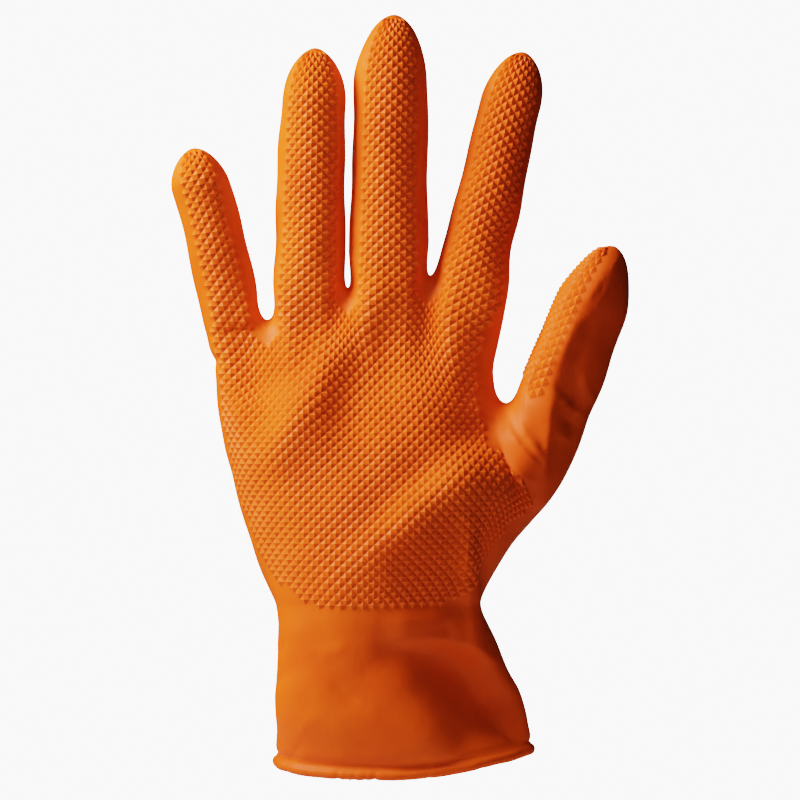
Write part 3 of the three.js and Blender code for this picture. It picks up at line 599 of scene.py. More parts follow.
# %% [markdown]
# Each digit then grows from its own ring. Its rows are spaced evenly along its axis up to the
# shoulder of the dome, and evenly along the skin of the dome itself, so that the pyramids keep
# their height up to the fingertip.

# %% Grow the fingers and the thumb
THUMB_NUMBER = 4
DOME_SAMPLES = 400


def dome_angles(digit, rise):
    """Angles of the dome's rows, evenly spaced along its profile, with their number."""
    angle = np.linspace(0, np.pi / 2, DOME_SAMPLES)
    half = digit["width"] / 2 * (1 - digit["taper"])
    profile = np.stack([half * np.cos(angle) ** (2 / DOME_ROUND),
                        rise * np.sin(angle) ** (2 / DOME_ROUND)])
    length = np.r_[0, np.cumsum(np.hypot(*np.diff(profile, axis=1)))]
    pitches = max(3, round(length[-1] / ROW_PITCH))
    marks = np.arange(1, pitches * FINE) / (pitches * FINE) * length[-1]
    return np.interp(marks, length, angle), pitches * FINE


def grow(digit, ring, turns, columns, row, number):
    """Rows of a digit from its root's ring to its tip, as one grid and a closing point."""
    rise = digit["tip"] * digit["width"] * (1 - digit["taper"]) / 2
    shoulder = digit["length"] - rise
    foot = up_at(digit, positions(ring)[:, 2], turns)
    rows = round((shoulder - foot.mean()) / ROW_PITCH) * FINE
    share = (np.arange(1, rows + 1) / rows)[:, None]
    shaft = add(tube(digit, foot + (shoulder - foot) * share, turns), columns,
                row + np.arange(1, rows + 1)[:, None] / FINE, number)
    angles, dome_rows = dome_angles(digit, rise)
    up = shoulder + rise * np.sin(angles) ** (2 / DOME_ROUND)
    dome = add(tube(digit, up[:, None], turns, angles[:, None]), columns,
               row + (rows + np.arange(1, dome_rows)[:, None]) / FINE, number)
    top = tube(digit, np.array([digit["length"]]), np.zeros(1), np.pi / 2)
    tip = add(top, NO_GRIP, NO_GRIP, number)
    grid = closed(np.concatenate([ring[None], shaft, dome]))
    grids.append(grid)
    tips.append((grid, tip[0]))
    digit["last row"] = row + (rows + dome_rows) / FINE
    print(digit["name"], "grid:", grid.shape)


def positions(ids):
    """Places of points that are already kept."""
    return np.concatenate(parts)[ids, :3]


thumb_columns = np.arange(PALM_COLUMNS, PALM_COLUMNS + round(2 * np.pi / THUMB_STEP), 1 / FINE)
grow(THUMB, thumb_ring, thumb_turn(thumb_columns), thumb_columns, fork_row, THUMB_NUMBER)

# %% [markdown]
# The hand's ring goes up row by row until the first web, between the little and the ring finger.
# There the little finger's ring is cut off, and the rest of the ring climbs on to the next web.
# The webs lie a little higher from the little finger to the index, as on a real hand.

# %% Part the fingers from the hand
SIDE_CLIMB = 0.5
web_rows = [round((knuckle_height(f["end"]) - FORK) / ROW_PITCH) * FINE for f in FINGERS[:3]]
ring = hand_ring
row = 0
for k, finger in enumerate(FINGERS):
    beside = FINGERS[k + 1] if k < 3 else None
    if beside:
        climbed = np.arange(1, web_rows[k] - row + 1)[:, None]
        z = FORK + (row + climbed) * ROW
        columns = finger["start"] + np.arange((PALM_COLUMNS - finger["start"]) * FINE + 1) / FINE
        grip_row = fork_row + (row + climbed) / FINE
        front = add(hand_skin(z, columns), columns, grip_row)
        back = add(hand_skin(z, columns, back=True), columns, grip_row)
        lift = arch(fork_shares) * (1 - climbed / len(climbed)) if k == 0 else 0
        right = add(side_skin(z + lift, fork_shares, INDEX, True), NO_GRIP, grip_row)
        shares = inner_shares(WEB_COLUMNS)
        if k == 0:
            left = add(side_skin(z, shares, finger, False), NO_GRIP, grip_row)
        else:
            turn = -side_turn(finger, shares)
            side_z = positions(ring["left"])[:, 2] + climbed * ROW * SIDE_CLIMB
            left = add(tube(finger, up_at(finger, side_z, turn), turn), NO_GRIP, grip_row)
        rings = {"front": front, "right": right, "back": back, "left": left}
        sheet = {side: np.concatenate([ring[side][None], rings[side]]) for side in ring}
        grids.append(closed(np.concatenate(
            [sheet["front"], sheet["right"], sheet["back"][:, ::-1], sheet["left"][:, ::-1]], 1)))
        row = web_rows[k]
        top = {side: sheet[side][-1] for side in sheet}
        cut = int(finger["columns"]) * FINE
        web_z = FORK + row * ROW + arch(shares)
        turn, other = side_turn(finger, shares), -side_turn(beside, shares)
        between = (tube(finger, up_at(finger, web_z, turn), turn)
                   + tube(beside, up_at(beside, web_z, other), other)) / 2
        web = add(between, NO_GRIP, fork_row + row / FINE)
        webs.append(np.r_[top["front"][cut], web, top["back"][cut]])
        own = {"front": top["front"][:cut + 1], "right": web, "back": top["back"][:cut + 1],
               "left": top["left"]}
        ring = {"front": top["front"][cut:], "right": top["right"], "back": top["back"][cut:],
                "left": web}
    else:
        own = ring
    strip = finger["strip"] * np.linspace(-1, 1, len(own["front"]))
    right_shares = np.arange(1, len(own["right"]) + 1) / (len(own["right"]) + 1)
    left_shares = np.arange(1, len(own["left"]) + 1) / (len(own["left"]) + 1)
    turns = np.r_[strip, side_turn(finger, right_shares), np.pi + strip,
                  np.pi + side_turn(finger, left_shares)]
    strip_columns = np.linspace(finger["start"], finger["end"], len(strip))
    columns = np.r_[strip_columns, np.full(len(right_shares), NO_GRIP), strip_columns[::-1],
                    np.full(len(left_shares), NO_GRIP)]
    own_ring = np.concatenate([own["front"], own["right"], own["back"][::-1], own["left"][::-1]])
    grow(finger, own_ring, turns, columns, fork_row + row / FINE, k)

facts = np.concatenate(parts)
points, grip_column, grip_row, digit_number = facts[:, :3], facts[:, 3], facts[:, 4], facts[:, 5]
print("points:", len(points), "web rows:", web_rows)

# %% [markdown]
# Film that bridges two fingers is drawn smooth by its own tension. The same is done to the points
# near each web: again and again, each moves part of the way to the mean of its neighbours, which
# is how a soap film finds its shape. Below each web the tubes of two fingers would leave a deep
# groove, so the skin along it is drawn smooth too, but only across and in depth. Its heights stay,
# and with them the grip's straight rows.

# %% Draw the webs smooth
WEB_REACH = 10.0
WEB_PASSES = 160
WEB_PULL = 0.6
GROOVE_ROWS = 11.0
GROOVE_REACH = 9.0

quads = np.concatenate([
    np.stack([g[:-1, :-1], g[:-1, 1:], g[1:, 1:], g[1:, :-1]], -1).reshape(-1, 4) for g in grids
])
caps = np.concatenate([
    np.stack([g[-1, :-1], g[-1, 1:], np.full(g.shape[1] - 1, tip)], -1) for g, tip in tips
])
pairs = np.concatenate([quads[:, [k, (k + 1) % 4]] for k in range(4)] + [caps[:, [0, 2]]])
pairs = np.unique(np.sort(pairs, 1), axis=0)
web_points = points[np.concatenate(webs)]
groove = np.zeros(len(points), bool)
for finger, web_row in zip(FINGERS, web_rows):
    below = fork_row + web_row / FINE - grip_row
    groove |= (np.abs(grip_column - finger["end"]) < 0.01) & (below >= 0) & (below < GROOVE_ROWS)


def nearest(places, targets):
    """Distance from each place to the nearest target, in slices that keep the arrays small."""
    return np.concatenate([
        np.sqrt(((block[:, None] - targets) ** 2).sum(-1)).min(1)
        for block in np.array_split(places, 40)
    ])


def spread(pairs, values, count):
    """For each point, the sum of the values of the points it is paired with."""
    ends = np.concatenate([pairs, pairs[:, ::-1]])
    if values.ndim == 1:
        return np.bincount(ends[:, 0], values[ends[:, 1]], count)
    return np.stack([np.bincount(ends[:, 0], v[ends[:, 1]], count) for v in values.T], -1)


def smooth(points, softness, passes, pull):
    """Moves each soft point towards the mean of its neighbours, over and over."""
    soft = softness > 0
    near = pairs[soft[pairs].any(1)]
    degree = np.maximum(spread(near, np.ones(len(points)), len(points)), 1)[:, None]
    for _ in range(passes):
        mean = spread(near, points, len(points)) / degree
        points = points + (mean - points) * (pull * softness)[:, None]
    return points


web_distance = nearest(points, web_points)
groove_distance = nearest(points, points[groove])
points = smooth(points, 1 - ease(web_distance / WEB_REACH), WEB_PASSES, WEB_PULL)
drawn = smooth(points, 1 - ease(groove_distance / GROOVE_REACH), WEB_PASSES, WEB_PULL)
points = np.stack([drawn[:, 0], drawn[:, 1], points[:, 2]], -1)
print("faces:", len(quads), "soft points:", int((web_distance < WEB_REACH).sum()))

# %% [markdown]
# A worn glove folds where the hand inside it is hollow or bends. Each fold is a rounded ridge or
# valley along a line. The wide ones come first and are the same as the solid's own. Their heights
# fade towards both ends, and they show only where the skin faces the palm side.

# %% Wide folds of palm and cuff
FOLD_HEIGHT = 5.0
FOLD_REACH = 12.0
FOLD_END = 0.45
FOLD_RISE = 1 / 3
FACING_NONE, FACING_FULL = 0.1, 0.6

PALM_FOLDS = table(
    "from_x from_z to_x   to_z  left  right high",
    (-0.09, 1.00, -0.45, 0.49, 0.50, 0.50, 0.46),
    (0.05, 0.99, -0.27, 0.40, 1.00, 0.85, -0.52),
    (0.22, 1.02, 0.10, 0.60, 0.80, 1.00, 0.24),
    (0.31, 0.95, 0.20, 0.62, 0.55, 0.55, -0.12),
    (0.40, 0.89, 0.29, 0.64, 0.35, 0.40, 0.24),
    (0.33, 0.52, -0.21, 0.10, 0.75, 0.52, 0.52),
    (0.13, 0.50, -0.16, 0.26, 0.45, 0.50, -0.18),
    (0.22, 0.27, 0.25, -0.14, 0.26, 0.30, 0.44),
    (-0.58, 0.93, -0.50, 0.62, 0.45, 0.50, -0.34),
    (0.46, 0.45, 0.25, 0.09, 0.40, 0.60, -0.45),
    (0.70, 1.07, 0.515, 0.76, 0.42, 0.65, 0.36),
    (0.515, 0.76, 0.48, 0.36, 0.42, 0.60, 0.34),
    (0.335, 0.60, 0.46, 0.36, 0.50, 0.50, 0.45),
)
CUFF_FOLDS = table(
    "from_x from_z to_x   to_z  left  right high",
    (-0.36, 1.05, -0.36, 0.02, 2.20, 0.90, 0.95),
)
# The dent of the cuff's front lies between a crest and a valley on its right. up is a share of
# CUFF_LENGTH, crest and valley are shares of CUFF_WIDTH, and deep of CUFF_DEPTH.
CUFF_DENT = table(
    "up     crest   valley  deep",
    (0.020, 0.244, 0.478, 0.000),
    (0.100, 0.177, 0.450, 0.080),
    (0.157, 0.128, 0.430, 0.135),
    (0.310, 0.000, 0.390, 0.220),
    (0.463, -0.080, 0.350, 0.245),
    (0.608, -0.125, 0.280, 0.220),
    (0.700, -0.140, 0.200, 0.150),
    (0.760, -0.140, 0.120, 0.070),
    (0.810, -0.130, 0.040, 0.000),
)
DENT_RETURN = 0.95
DENT_RETURN_REACH = 11.0


def directions(points):
    """The outward direction of the skin at each point: the sum of its faces' cross products."""
    total = np.zeros_like(points)
    for face in (quads, caps):
        corners = points[face]
        out = np.cross(corners[:, 2] - corners[:, 0], corners[:, -1] - corners[:, 1])
        for k in range(face.shape[1]):
            for axis in range(3):
                total[:, axis] += np.bincount(face[:, k], out[:, axis], len(points))
    return total / np.maximum(np.linalg.norm(total, axis=1, keepdims=True), 1e-9)


def fold_height(x, z, start, end, left, right, high, bow=0.0, sharp=2.0, at_end=FOLD_END):
    """A ridge along the line from start to end, bowed aside by so many millimetres half way. Its
    profile is exp(-|aside / reach|^sharp), with its own reach on the left and on the right."""
    dx, dz = end[0] - start[0], end[1] - start[1]
    length = math.hypot(dx, dz)
    along = ((x - start[0]) * dx + (z - start[1]) * dz) / length**2
    held = np.clip(along, 0, 1)
    aside = ((x - start[0]) * dz - (z - start[1]) * dx) / length - 4 * bow * held * (1 - held)
    beyond = (along - held) * length
    reach = np.where(aside > 0, right, left)
    fade = at_end + (1 - at_end) * ease(np.minimum(held, 1 - held) / FOLD_RISE)
    return high * fade * np.exp(-np.abs(aside / reach) ** sharp - (beyond / min(left, right)) ** 2)


def wide_folds(x, z, folds, width, base, length):
    """The sum of a table of wide folds, whose places are shares of a width and a length."""
    total = 0
    for fx, fz, tx, tz, left, right, high in zip(*folds.values()):
        total = total + fold_height(
            x, z, (fx * width, base + fz * length), (tx * width, base + tz * length),
            left * FOLD_REACH, right * FOLD_REACH, high * FOLD_HEIGHT)
    return total


def cuff_dent(x, z):
    """The dent's height: an eased fall from its crest to its valley, 3 t^2 - 2 t^3 of the depth,
    and an eased return beyond the valley."""
    crest, valley, deep = (
        curve(CUFF_DENT, "up", n, z / CUFF_LENGTH) for n in ("crest", "valley", "deep"))
    fall = ease((x / CUFF_WIDTH - crest) / (valley - crest))
    back = 1 - DENT_RETURN * ease((x - valley * CUFF_WIDTH) / DENT_RETURN_REACH)
    return -np.maximum(0, deep) * CUFF_DEPTH * fall * back


def facing(normals, side):
    """1 where the skin faces the palm side (-1) or the back (+1), fading to 0 on the flanks."""
    return ease((side * normals[:, 1] - FACING_NONE) / (FACING_FULL - FACING_NONE))


normals = directions(points)
x, z = points[:, 0], points[:, 2]
wide = wide_folds(x, z, PALM_FOLDS, PALM_WIDTH, WRIST, PALM_LENGTH)
wide = wide + wide_folds(x, z, CUFF_FOLDS, CUFF_WIDTH, 0, CUFF_LENGTH)
dent = cuff_dent(x, z)
points = points + normals * ((wide + dent) * facing(normals, -1))[:, None]
print("wide folds from", round(wide.min(), 1), "to", round(wide.max(), 1), "mm")
print("deepest place of the dent:", round(-dent.min(), 1), "mm")

# %% [markdown]
# The thin creases are what makes film look like film. They are sharper than the wide folds, so
# their profile is closer to a tent than to a hill, and each one bows a little. Their places are
# in millimetres across and above the rim. A second table does the same for the back of the hand.
# Three small forms come with them: a notch where the little finger meets the palm's edge, the neck
# above the rolled edge, and a slight unevenness of the whole film, without which it looks machined.

# %% Thin creases
CREASE_END = 0.2
CREASES = table(
    "from_x from_z to_x  to_z  left right high bow  sharp",
    # the thumb's crest, from its tip to its root, and the hollows beside it
    (67.5, 161.0, 55.5, 144.0, 2.0, 6.0, 1.5, -0.4, 1.0),
    (55.5, 144.0, 46.5, 121.0, 2.2, 7.0, 1.5, 0.4, 1.0),
    (46.5, 121.0, 43.6, 84.0, 2.0, 6.0, 1.3, 0.4, 1.0),
    (59.5, 141.0, 52.0, 125.0, 2.0, 3.0, -0.8, 0.0, 1.6),
    (54.0, 122.0, 51.0, 101.0, 2.5, 3.0, -1.2, -1.0, 1.6),
    (55.0, 124.0, 61.0, 112.0, 2.5, 2.5, 0.8, 0.8, 1.4),
    # the creases that fan out from the thumb's web
    (29.0, 100.5, 41.5, 90.0, 1.2, 1.8, 0.7, 1.4, 1.1),
    (32.4, 106.5, 42.8, 93.9, 1.2, 1.8, 0.9, 1.0, 1.1),
    (36.0, 110.0, 43.4, 96.0, 1.2, 1.8, 0.9, 1.0, 1.1),
    (39.7, 104.0, 43.8, 97.0, 1.0, 1.4, 0.7, 0.6, 1.1),
    # the ridge down the heel of the palm, and the little finger's root
    (20.0, 77.0, 23.2, 36.5, 2.4, 2.2, 1.0, 2.0, 1.5),
    (-60.2, 135.5, -44.7, 138.0, 1.6, 2.2, -0.8, 0.0, 1.2),
    # the short folds on the thumb's outer side
    (65.5, 158.5, 58.0, 145.0, 1.2, 1.6, -0.8, 0.0, 1.2),
    (47.5, 119.0, 55.6, 112.0, 2.2, 1.2, -1.1, 0.0, 1.1),
    (48.2, 115.0, 56.4, 110.3, 1.8, 1.8, 1.0, 0.0, 1.1),
    (47.3, 110.3, 54.8, 106.2, 1.8, 1.8, -0.8, 0.0, 1.1),
    (46.6, 105.5, 52.3, 102.4, 1.8, 1.8, 0.8, 0.0, 1.1),
    # the wrist and the broad forms of the cuff: its left side, its top, and the edges of its dent
    (11.3, 47.3, 16.1, 37.8, 3.0, 5.0, -1.4, 0.0, 1.6),
    (-38.0, 62.0, -38.0, 4.0, 17.0, 9.0, 1.4, 0.0, 1.4),
    (-44.0, 50.5, 8.0, 50.5, 12.0, 7.0, 1.3, 0.0, 1.8),
    (-8.5, 36.5, 18.0, 6.0, 10.0, 13.0, 2.6, 1.0, 1.5),
    (6.0, 40.0, 31.0, 7.0, 10.0, 12.0, -2.4, -3.0, 1.4),
    (34.0, 98.0, 26.0, 60.0, 9.0, 5.0, 1.1, 0.0, 1.4),
    (-8.0, 46.5, 20.0, 46.0, 5.0, 10.0, 1.7, 0.0, 1.8),
    # the cuff's thin creases
    (-38.7, 34.7, -35.3, 41.3, 1.0, 1.2, -0.6, 0.0, 1.4),
    (-39.4, 24.9, -35.3, 32.4, 1.0, 1.4, -0.6, 0.0, 1.4),
    (-38.1, 1.6, -31.2, 10.1, 1.2, 1.2, -0.5, 0.0, 1.4),
    (-32.8, 11.7, -24.9, 18.6, 2.0, 2.0, 0.4, -1.0, 1.4),
    (-27.1, 36.9, -16.4, 39.4, 2.0, 2.0, 0.35, 0.5, 1.4),
    (-23.3, 29.3, -13.2, 20.5, 2.0, 2.5, -0.35, 0.5, 1.4),
    (-3.8, 5.0, 9.8, 5.0, 2.5, 2.5, -0.6, 0.0, 1.8),
)
BACK_CREASES = table(
    "from_x from_z to_x  to_z  left right high bow  sharp",
    (-34.0, 118.0, 20.0, 124.0, 9.0, 9.0, 0.9, 3.0, 1.8),
    (-36.0, 60.0, 14.0, 64.0, 4.0, 5.0, 0.8, -3.0, 1.4),
    (-30.0, 50.0, 20.0, 46.0, 4.0, 4.0, -0.8, 2.0, 1.5),
)


def creases(x, z, rows):
    """The sum of a table of thin creases, whose places are in millimetres."""
    total = 0
    for fx, fz, tx, tz, left, right, high, bow, sharp in zip(*rows.values()):
        total = total + fold_height(
            x, z, (fx, fz), (tx, tz), left, right, high, bow, sharp, CREASE_END)
    return total


NOTCH = table("z high reach", (127.0, -0.6, 1.5), (131.5, 0.3, 2.2))
NOTCH_EDGE = -50
NOTCH_FACING, NOTCH_FULL = 0.3, 0.7
NECK_DEPTH = 0.9
NECK_HEIGHT = 4.3
NECK_REACH = 1.1
UNEVEN_HEIGHT = 0.22
UNEVEN_WAVES = 10
UNEVEN_LENGTHS = (12, 30)


def little_side_notch(x, z, normals):
    """The dent and the swelling above it where the little finger meets the palm's edge."""
    sideways = ease((-normals[:, 0] - NOTCH_FACING) / (NOTCH_FULL - NOTCH_FACING)) * (x < NOTCH_EDGE)
    return sideways * sum(h * np.exp(-((z - at) / r) ** 2) for at, h, r in zip(*NOTCH.values()))


def neck(z):
    """The shallow ring above the bead, where the rolled edge draws the film in."""
    return -NECK_DEPTH * np.exp(-(((z - NECK_HEIGHT) / NECK_REACH) ** 2))


def unevenness(points):
    """A sum of ten waves in chance directions, 12 to 30 mm long."""
    chance = np.random.default_rng(11)
    total = np.zeros(len(points))
    for _ in range(UNEVEN_WAVES):
        way = chance.normal(size=3)
        way = way / np.linalg.norm(way) * 2 * np.pi / chance.uniform(*UNEVEN_LENGTHS)
        total += np.sin(points @ way + chance.uniform(0, 2 * np.pi))
    return total / math.sqrt(UNEVEN_WAVES / 2) * UNEVEN_HEIGHT


normals = directions(points)
x, z = points[:, 0], points[:, 2]
palm_side, back_side = creases(x, z, CREASES), creases(x, z, BACK_CREASES)
thin = palm_side * facing(normals, -1) + back_side * facing(normals, 1)
thin = thin + little_side_notch(x, z, normals) + unevenness(points) + neck(z)
points = points + normals * thin[:, None]
print("thin creases:", len(CREASES["high"]), "on the palm side,", len(BACK_CREASES["high"]), "behind")

# %% [markdown]
# The cuff's mouth isn't a flat hoop: it hangs lower in front and stands higher on the thumb's side.
# Only the part near the rim is moved, so the wrist stays where it is.

# %% Tilt the rim
RIM_REACH = 0.45 * CUFF_LENGTH
DROOP_POWER = 1.5

near_rim = 1 - ease(points[:, 2] / RIM_REACH)
frontward = np.maximum(0, -points[:, 1] / (CUFF_DEPTH / 2)) ** DROOP_POWER
thumbward = ease(points[:, 0] / (CUFF_WIDTH / 2))
points[:, 2] += near_rim * (RIM_TILT * thumbward - RIM_DROOP * frontward)
print("lowest point of the lip:", round(points[:, 2].min(), 2), "mm")

# %% [markdown]
# The grip itself is now only arithmetic. Each pyramid stands on a diamond whose corners lie half a
# pitch from its top, and the rows are staggered, so tops stand on whole columns and rows and on
# half ones. With four points to a pitch the slopes come out flat and the valleys straight, as long
# as each square of the mesh is cut along the right diagonal. A pyramid is there or not as a whole,
# so the edge of the patch is decided at its top. The back can't be seen from in front. It is given
# the same lattice, because gloves of this kind have it on both faces.

# %% Grip of small pyramids
GRIP_HEIGHT = 0.72
GRIP_EDGE = table(
    "row   first last",
    (0.0, 12.5, 22.2),
    (0.5, 11.0, 24.4),
    (1.0, 9.8, 25.6),
    (2.5, 7.3, 26.6),
    (4.6, 5.0, 28.0),
    (7.0, 3.5, 30.2),
    (9.9, 2.2, 32.4),
    (12.6, 1.4, 33.4),
    (14.0, 1.2, 31.4),
    (14.8, 1.1, 27.6),
    (18.8, 0.8, 26.8),
    (25.0, 0.6, 27.6),
    (28.0, 0.6, 28.5),
    (40.0, 0.6, 28.5),
)
GRIP_FIRST_ROW = 0.2
WEB_NOTCH = 1.6
WEB_GAP = 1.4
FINGER_GRIP_MARGIN = 1.45
TIP_GRIP_MARGIN = 1.3
THUMB_GRIP_COLUMN = 49
THUMB_GRIP_HALF = 4.1
THUMB_GRIP_START = 21.0
THUMB_GRIP_FADE = 0.7


def pyramid(column, row):
    """Height from 0 to 1 and the nearest top. With d the distance to the nearest whole column and
    row, added together, the height is 1 - 2 d up to a half and 2 d - 1 beyond it."""
    whole_column, whole_row = np.round(column), np.round(row)
    aside, along = column - whole_column, row - whole_row
    distance = np.abs(aside) + np.abs(along)
    half = distance > 0.5
    top_column = whole_column + np.where(half, np.where(aside < 0, -0.5, 0.5), 0)
    top_row = whole_row + np.where(half, np.where(along < 0, -0.5, 0.5), 0)
    return np.abs(1 - 2 * distance), top_column, top_row


def grip_on_palm(column, row):
    """Whether a pyramid stands at this column and row of the palm."""
    first, last = (np.interp(row, GRIP_EDGE["row"], GRIP_EDGE[n]) for n in ("first", "last"))
    inside = (row > GRIP_FIRST_ROW) & (column >= first) & (column <= last)
    for finger, web_row in zip(FINGERS, web_rows):
        notch = WEB_GAP * ease((row - fork_row - web_row / FINE + WEB_NOTCH) / WEB_NOTCH)
        inside &= np.abs(column - finger["end"]) >= notch
    return inside


def grip_on_digit(column, row, number):
    """Whether a pyramid stands at this place of a finger or of the thumb."""
    inside = np.zeros(len(column), bool)
    for k, finger in enumerate(FINGERS):
        middle = (finger["start"] + finger["end"]) / 2
        band = np.abs(column - middle) <= finger["columns"] / 2 - FINGER_GRIP_MARGIN
        inside |= (number == k) & band & (row < finger["last row"] - TIP_GRIP_MARGIN)
    away = np.abs(column - THUMB_GRIP_COLUMN)
    away = np.minimum(away, np.abs(away - 2 * np.pi / THUMB_STEP))
    on_thumb = (away < THUMB_GRIP_HALF) & (row > THUMB_GRIP_START)
    on_thumb &= row < THUMB["last row"] - TIP_GRIP_MARGIN
    return inside | ((number == THUMB_NUMBER) & on_thumb)


height, top_column, top_row = pyramid(grip_column, grip_row)
stands = np.where(
    digit_number < 0, grip_on_palm(top_column, top_row),
    grip_on_digit(top_column, top_row, digit_number),
)
on_pad = 1 - THUMB_GRIP_FADE * ease((top_column - THUMB_GRIP_COLUMN) / THUMB_GRIP_HALF)
grip = height * stands * np.where(digit_number == THUMB_NUMBER, on_pad, 1)
smooth_points = points
normals = directions(smooth_points)
points = smooth_points + normals * (GRIP_HEIGHT * grip)[:, None]
print("pyramids:", int(((height > 0.99) & stands).sum()))

# %% [markdown]
# The film needs an inner face too, because one can look into the cuff. A hand would hide it, so it
# is made from every fourth row and column of the same grids, one wall further in and turned round.
# It has no grip, and it ends at the cuff in the same ring as the rim.

# %% Inner face
coarse = [g[::FINE, ::FINE] for g in grids]
inner_quads = np.concatenate([
    np.stack([g[:-1, :-1], g[:-1, 1:], g[1:, 1:], g[1:, :-1]], -1).reshape(-1, 4) for g in coarse
])
inner_caps = np.concatenate([
    np.stack([g[::FINE, ::FINE][-1, :-1], g[::FINE, ::FINE][-1, 1:],
              np.full((g.shape[1] - 1) // FINE, tip)], -1) for g, tip in tips
])
kept = np.unique(np.concatenate([inner_quads.ravel(), inner_caps.ravel()]))
inner_number = np.zeros(len(points), int)
inner_number[kept] = len(points) + np.arange(len(kept))
inner_points = smooth_points[kept] - normals[kept] * WALL
print("inner points:", len(kept))

# %% [markdown]
# The cuff ends in a bead: when the film is rolled off its former, the edge rolls up into a soft
# cord. It is a circle of 3.2 mm carried round the mouth, open where it meets the two faces. Real
# beads are never even, so its radius wanders a little and small puckers pinch it in front.

# %% Rolled rim
ROLL_STEPS = 10
ROLL_WANDER = 0.05
PUCKERS = table("x depth width", (-20.5, 0.30, 0.8), (-17.9, 0.20, 0.6), (-15.6, 0.24, 0.6),
                (-12.0, 0.16, 0.6), (-9.2, 0.28, 0.8), (7.5, 0.12, 1.2), (24.0, 0.14, 1.0))

lip = sleeve[0]
out = normals[lip] * [1, 1, 0]
out = out / np.linalg.norm(out, axis=1, keepdims=True)
round_the_mouth = np.arange(len(lip)) / len(lip) * 2 * np.pi
wander = 1 + ROLL_WANDER * (np.sin(7 * round_the_mouth) + 0.6 * np.sin(17 * round_the_mouth + 1))
in_front = points[lip, 1] < 0
for place, depth, width in zip(*PUCKERS.values()):
    wander -= in_front * depth * np.exp(-np.abs((points[lip, 0] - place) / width) ** 1.4)
radius = RIM_ROLL / 2
roll_start = math.asin(WALL / 2 / radius)
roll_turns = np.linspace(roll_start, 2 * np.pi - roll_start, ROLL_STEPS + 1)[1:-1]
swell = 1 + (wander - 1) * np.sin(np.linspace(0, np.pi, ROLL_STEPS + 1)[1:-1])[:, None] ** 0.5
aside = radius * np.sin(roll_turns)[:, None] * swell - WALL / 2
down = radius * (np.cos(roll_turns)[:, None] * swell - math.cos(roll_start))
bead_points = points[lip] + out * aside[..., None] + down[..., None] * np.array([0, 0, 1.0])
bead_start = len(points) + len(kept)
bead = bead_start + np.arange(bead_points[..., 0].size).reshape(len(roll_turns), -1)
roll = closed(np.concatenate([lip[None], bead]))
roll_quads = np.stack([roll[1:, :-1], roll[1:, 1:], roll[:-1, 1:], roll[:-1, :-1]], -1).reshape(-1, 4)
fine = roll[-1]
f0, f1, f2, f3 = (fine[k:-1:FINE] for k in range(FINE))
f4 = fine[FINE::FINE]
c0 = inner_number[closed(lip[None])[0][:-1:FINE]]
c1 = np.roll(c0, -1)
seam = np.concatenate([
    np.stack(corners, -1)
    for corners in ((c0, c1, f2), (c1, f4, f3), (c1, f3, f2), (c0, f2, f1), (c0, f1, f0))
])
print("bead points:", bead.size)

# %% [markdown]
# All faces become triangles. On the grip the cut through each square matters: it has to follow
# the valley between two pyramids, and that is the rising diagonal on every fourth square of a row,
# one square further on in each next row. Elsewhere either diagonal would do. The faces of the
# pyramids are shaded flat, because their edges are crisp on the real film, and all others smooth.

# %% Build the glove's mesh
GRIP_FLOOR = 0.01


def cut_rising(quads):
    """Two triangles of each square, cut from its first corner to its third."""
    return np.concatenate([quads[:, [0, 1, 2]], quads[:, [0, 2, 3]]])


def cut_falling(quads):
    """Two triangles of each square, cut from its second corner to its fourth."""
    return np.concatenate([quads[:, [0, 1, 3]], quads[:, [1, 2, 3]]])


rising = []
for g in grids:
    i, j = np.indices((g.shape[0] - 1, g.shape[1] - 1))
    rising.append(((j - i) % FINE == 2).ravel())
rising = np.concatenate(rising)
triangles = np.concatenate([
    cut_rising(quads[rising]), cut_falling(quads[~rising]), caps,
    cut_falling(inner_number[inner_quads])[:, ::-1], inner_number[inner_caps][:, ::-1],
    cut_rising(roll_quads), seam,
])
all_points = np.concatenate([points, inner_points, bead_points.reshape(-1, 3)]) / 1000


def mesh_piece(name, places, triangles):
    """A mesh object made straight from arrays of places and triangles."""
    mesh = bpy.data.meshes.new(name)
    mesh.vertices.add(len(places))
    mesh.vertices.foreach_set("co", places.ravel())
    mesh.loops.add(triangles.size)
    mesh.loops.foreach_set("vertex_index", triangles.ravel())
    mesh.polygons.add(len(triangles))
    mesh.polygons.foreach_set("loop_start", np.arange(0, triangles.size, 3))
    mesh.update()
    piece = bpy.data.objects.new(name, mesh)
    bpy.context.scene.collection.objects.link(piece)
    return piece


glove = mesh_piece("glove_film", all_points, triangles)
point_grip = np.r_[grip, np.zeros(len(all_points) - len(grip))]
grip_seen = glove.data.attributes.new("grip", "FLOAT", "POINT")
grip_seen.data.foreach_set("value", point_grip)
glove.data.polygons.foreach_set("use_smooth", point_grip[triangles].max(1) < GRIP_FLOOR)
edges = np.sort(np.concatenate([triangles[:, [k, (k + 1) % 3]] for k in range(3)]), 1)
edge_uses = np.unique(edges, axis=0, return_counts=True)[1]
print("triangles:", len(triangles), "open or doubled edges:", int((edge_uses != 2).sum()))
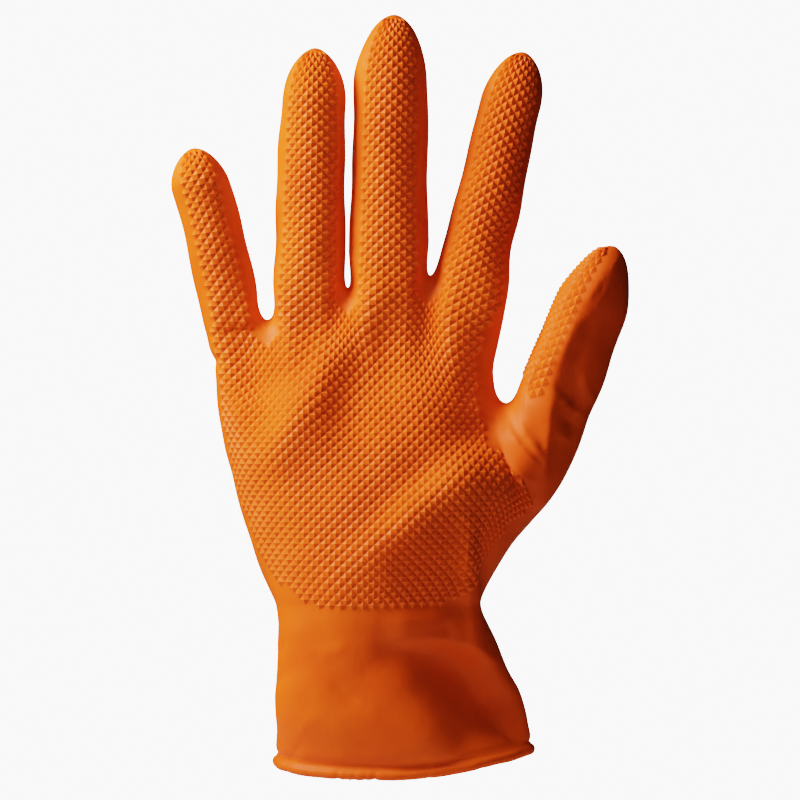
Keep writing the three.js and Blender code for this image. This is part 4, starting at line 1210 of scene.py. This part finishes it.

# %% [markdown]
# Nitrile film is a satin rubber: a strong even colour, a broad soft sheen, and a very fine grain
# from the former. Where it is stretched over a pyramid's top it is a little paler and smoother, and
# down between the pyramids the colour is left darker and redder: painted shade for the light that
# gets there, which has already been coloured by the film. A thin film also lets a little light
# through, which the subsurface gives. Otherwise two fingers that face
# each other would glow red, which the real ones, with their pale sheen, do only a little.

# %% Nitrile film
film = bpy.data.materials.new("nitrile film")
film.use_nodes = True
nodes, links = film.node_tree.nodes, film.node_tree.links
shader = nodes["Principled BSDF"]
shader.inputs["Specular IOR Level"].default_value = 0.16
shader.inputs["Subsurface Weight"].default_value = 0.05
shader.inputs["Subsurface Radius"].default_value = (1.0, 0.28, 0.06)
shader.inputs["Subsurface Scale"].default_value = 0.002

place = nodes.new("ShaderNodeTexCoord")
tops = nodes.new("ShaderNodeAttribute")
tops.attribute_name = "grip"


def noise(scale, detail, roughness=0.5):
    """A noise texture on the glove's own coordinates, scale in blotches to the metre."""
    node = nodes.new("ShaderNodeTexNoise")
    node.inputs["Scale"].default_value = scale
    node.inputs["Detail"].default_value = detail
    node.inputs["Roughness"].default_value = roughness
    links.new(place.outputs["Object"], node.inputs["Vector"])
    return node.outputs["Fac"]


def ramp(value, *stops):
    """A colour ramp with stops of place and colour."""
    node = nodes.new("ShaderNodeValToRGB")
    elements = node.color_ramp.elements
    while len(elements) < len(stops):
        elements.new(0.5)
    for element, (where, colour) in zip(elements, stops):
        element.position = where
        element.color = (*colour, 1)
    links.new(value, node.inputs["Fac"])
    return node.outputs["Color"]


def mixed(factor, first, second):
    """Two colours mixed by a factor, each a socket or a plain colour."""
    node = nodes.new("ShaderNodeMix")
    node.data_type = "RGBA"
    for value, socket in ((factor, 0), (first, 6), (second, 7)):
        if isinstance(value, bpy.types.NodeSocket):
            links.new(value, node.inputs[socket])
        else:
            node.inputs[socket].default_value = value if socket == 0 else (*value, 1)
    return node.outputs[2]


def scaled(value, low, high):
    """A value from 0 to 1 moved to run from low to high."""
    node = nodes.new("ShaderNodeMapRange")
    node.inputs["To Min"].default_value = low
    node.inputs["To Max"].default_value = high
    links.new(value, node.inputs["Value"])
    return node.outputs["Result"]


blotches = ramp(noise(38, 3), (0.35, (0.80, 0.096, 0.010)), (0.65, (0.88, 0.115, 0.012)))
# Partly painted shade: the colour grows paler towards the pyramids' tops for the thinner stretched film,
# and the valleys keep the darker, redder colour as painted shade.
paler_tops_painted_valley_shade = scaled(tops.outputs["Fac"], 0.0, 0.55)
colour = mixed(paler_tops_painted_valley_shade, blotches, (0.92, 0.142, 0.017))
bounce = nodes.new("ShaderNodeLightPath")
colour = mixed(bounce.outputs["Is Diffuse Ray"], colour, (0.95, 0.52, 0.36))
links.new(colour, shader.inputs["Base Color"])
links.new(scaled(noise(160, 4), 0.48, 0.60), shader.inputs["Roughness"])

grain = nodes.new("ShaderNodeBump")
grain.inputs["Strength"].default_value = 0.10
grain.inputs["Distance"].default_value = 0.0002
links.new(noise(2600, 2), grain.inputs["Height"])
waves = nodes.new("ShaderNodeBump")
waves.inputs["Strength"].default_value = 0.22
waves.inputs["Distance"].default_value = 0.0015
links.new(noise(120, 3, 0.4), waves.inputs["Height"])
links.new(waves.outputs["Normal"], grain.inputs["Normal"])
links.new(grain.outputs["Normal"], shader.inputs["Normal"])
glove.data.materials.append(film)
print("film nodes:", len(nodes))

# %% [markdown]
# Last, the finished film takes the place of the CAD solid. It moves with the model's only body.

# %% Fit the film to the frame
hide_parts("glove")
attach(glove, "root")
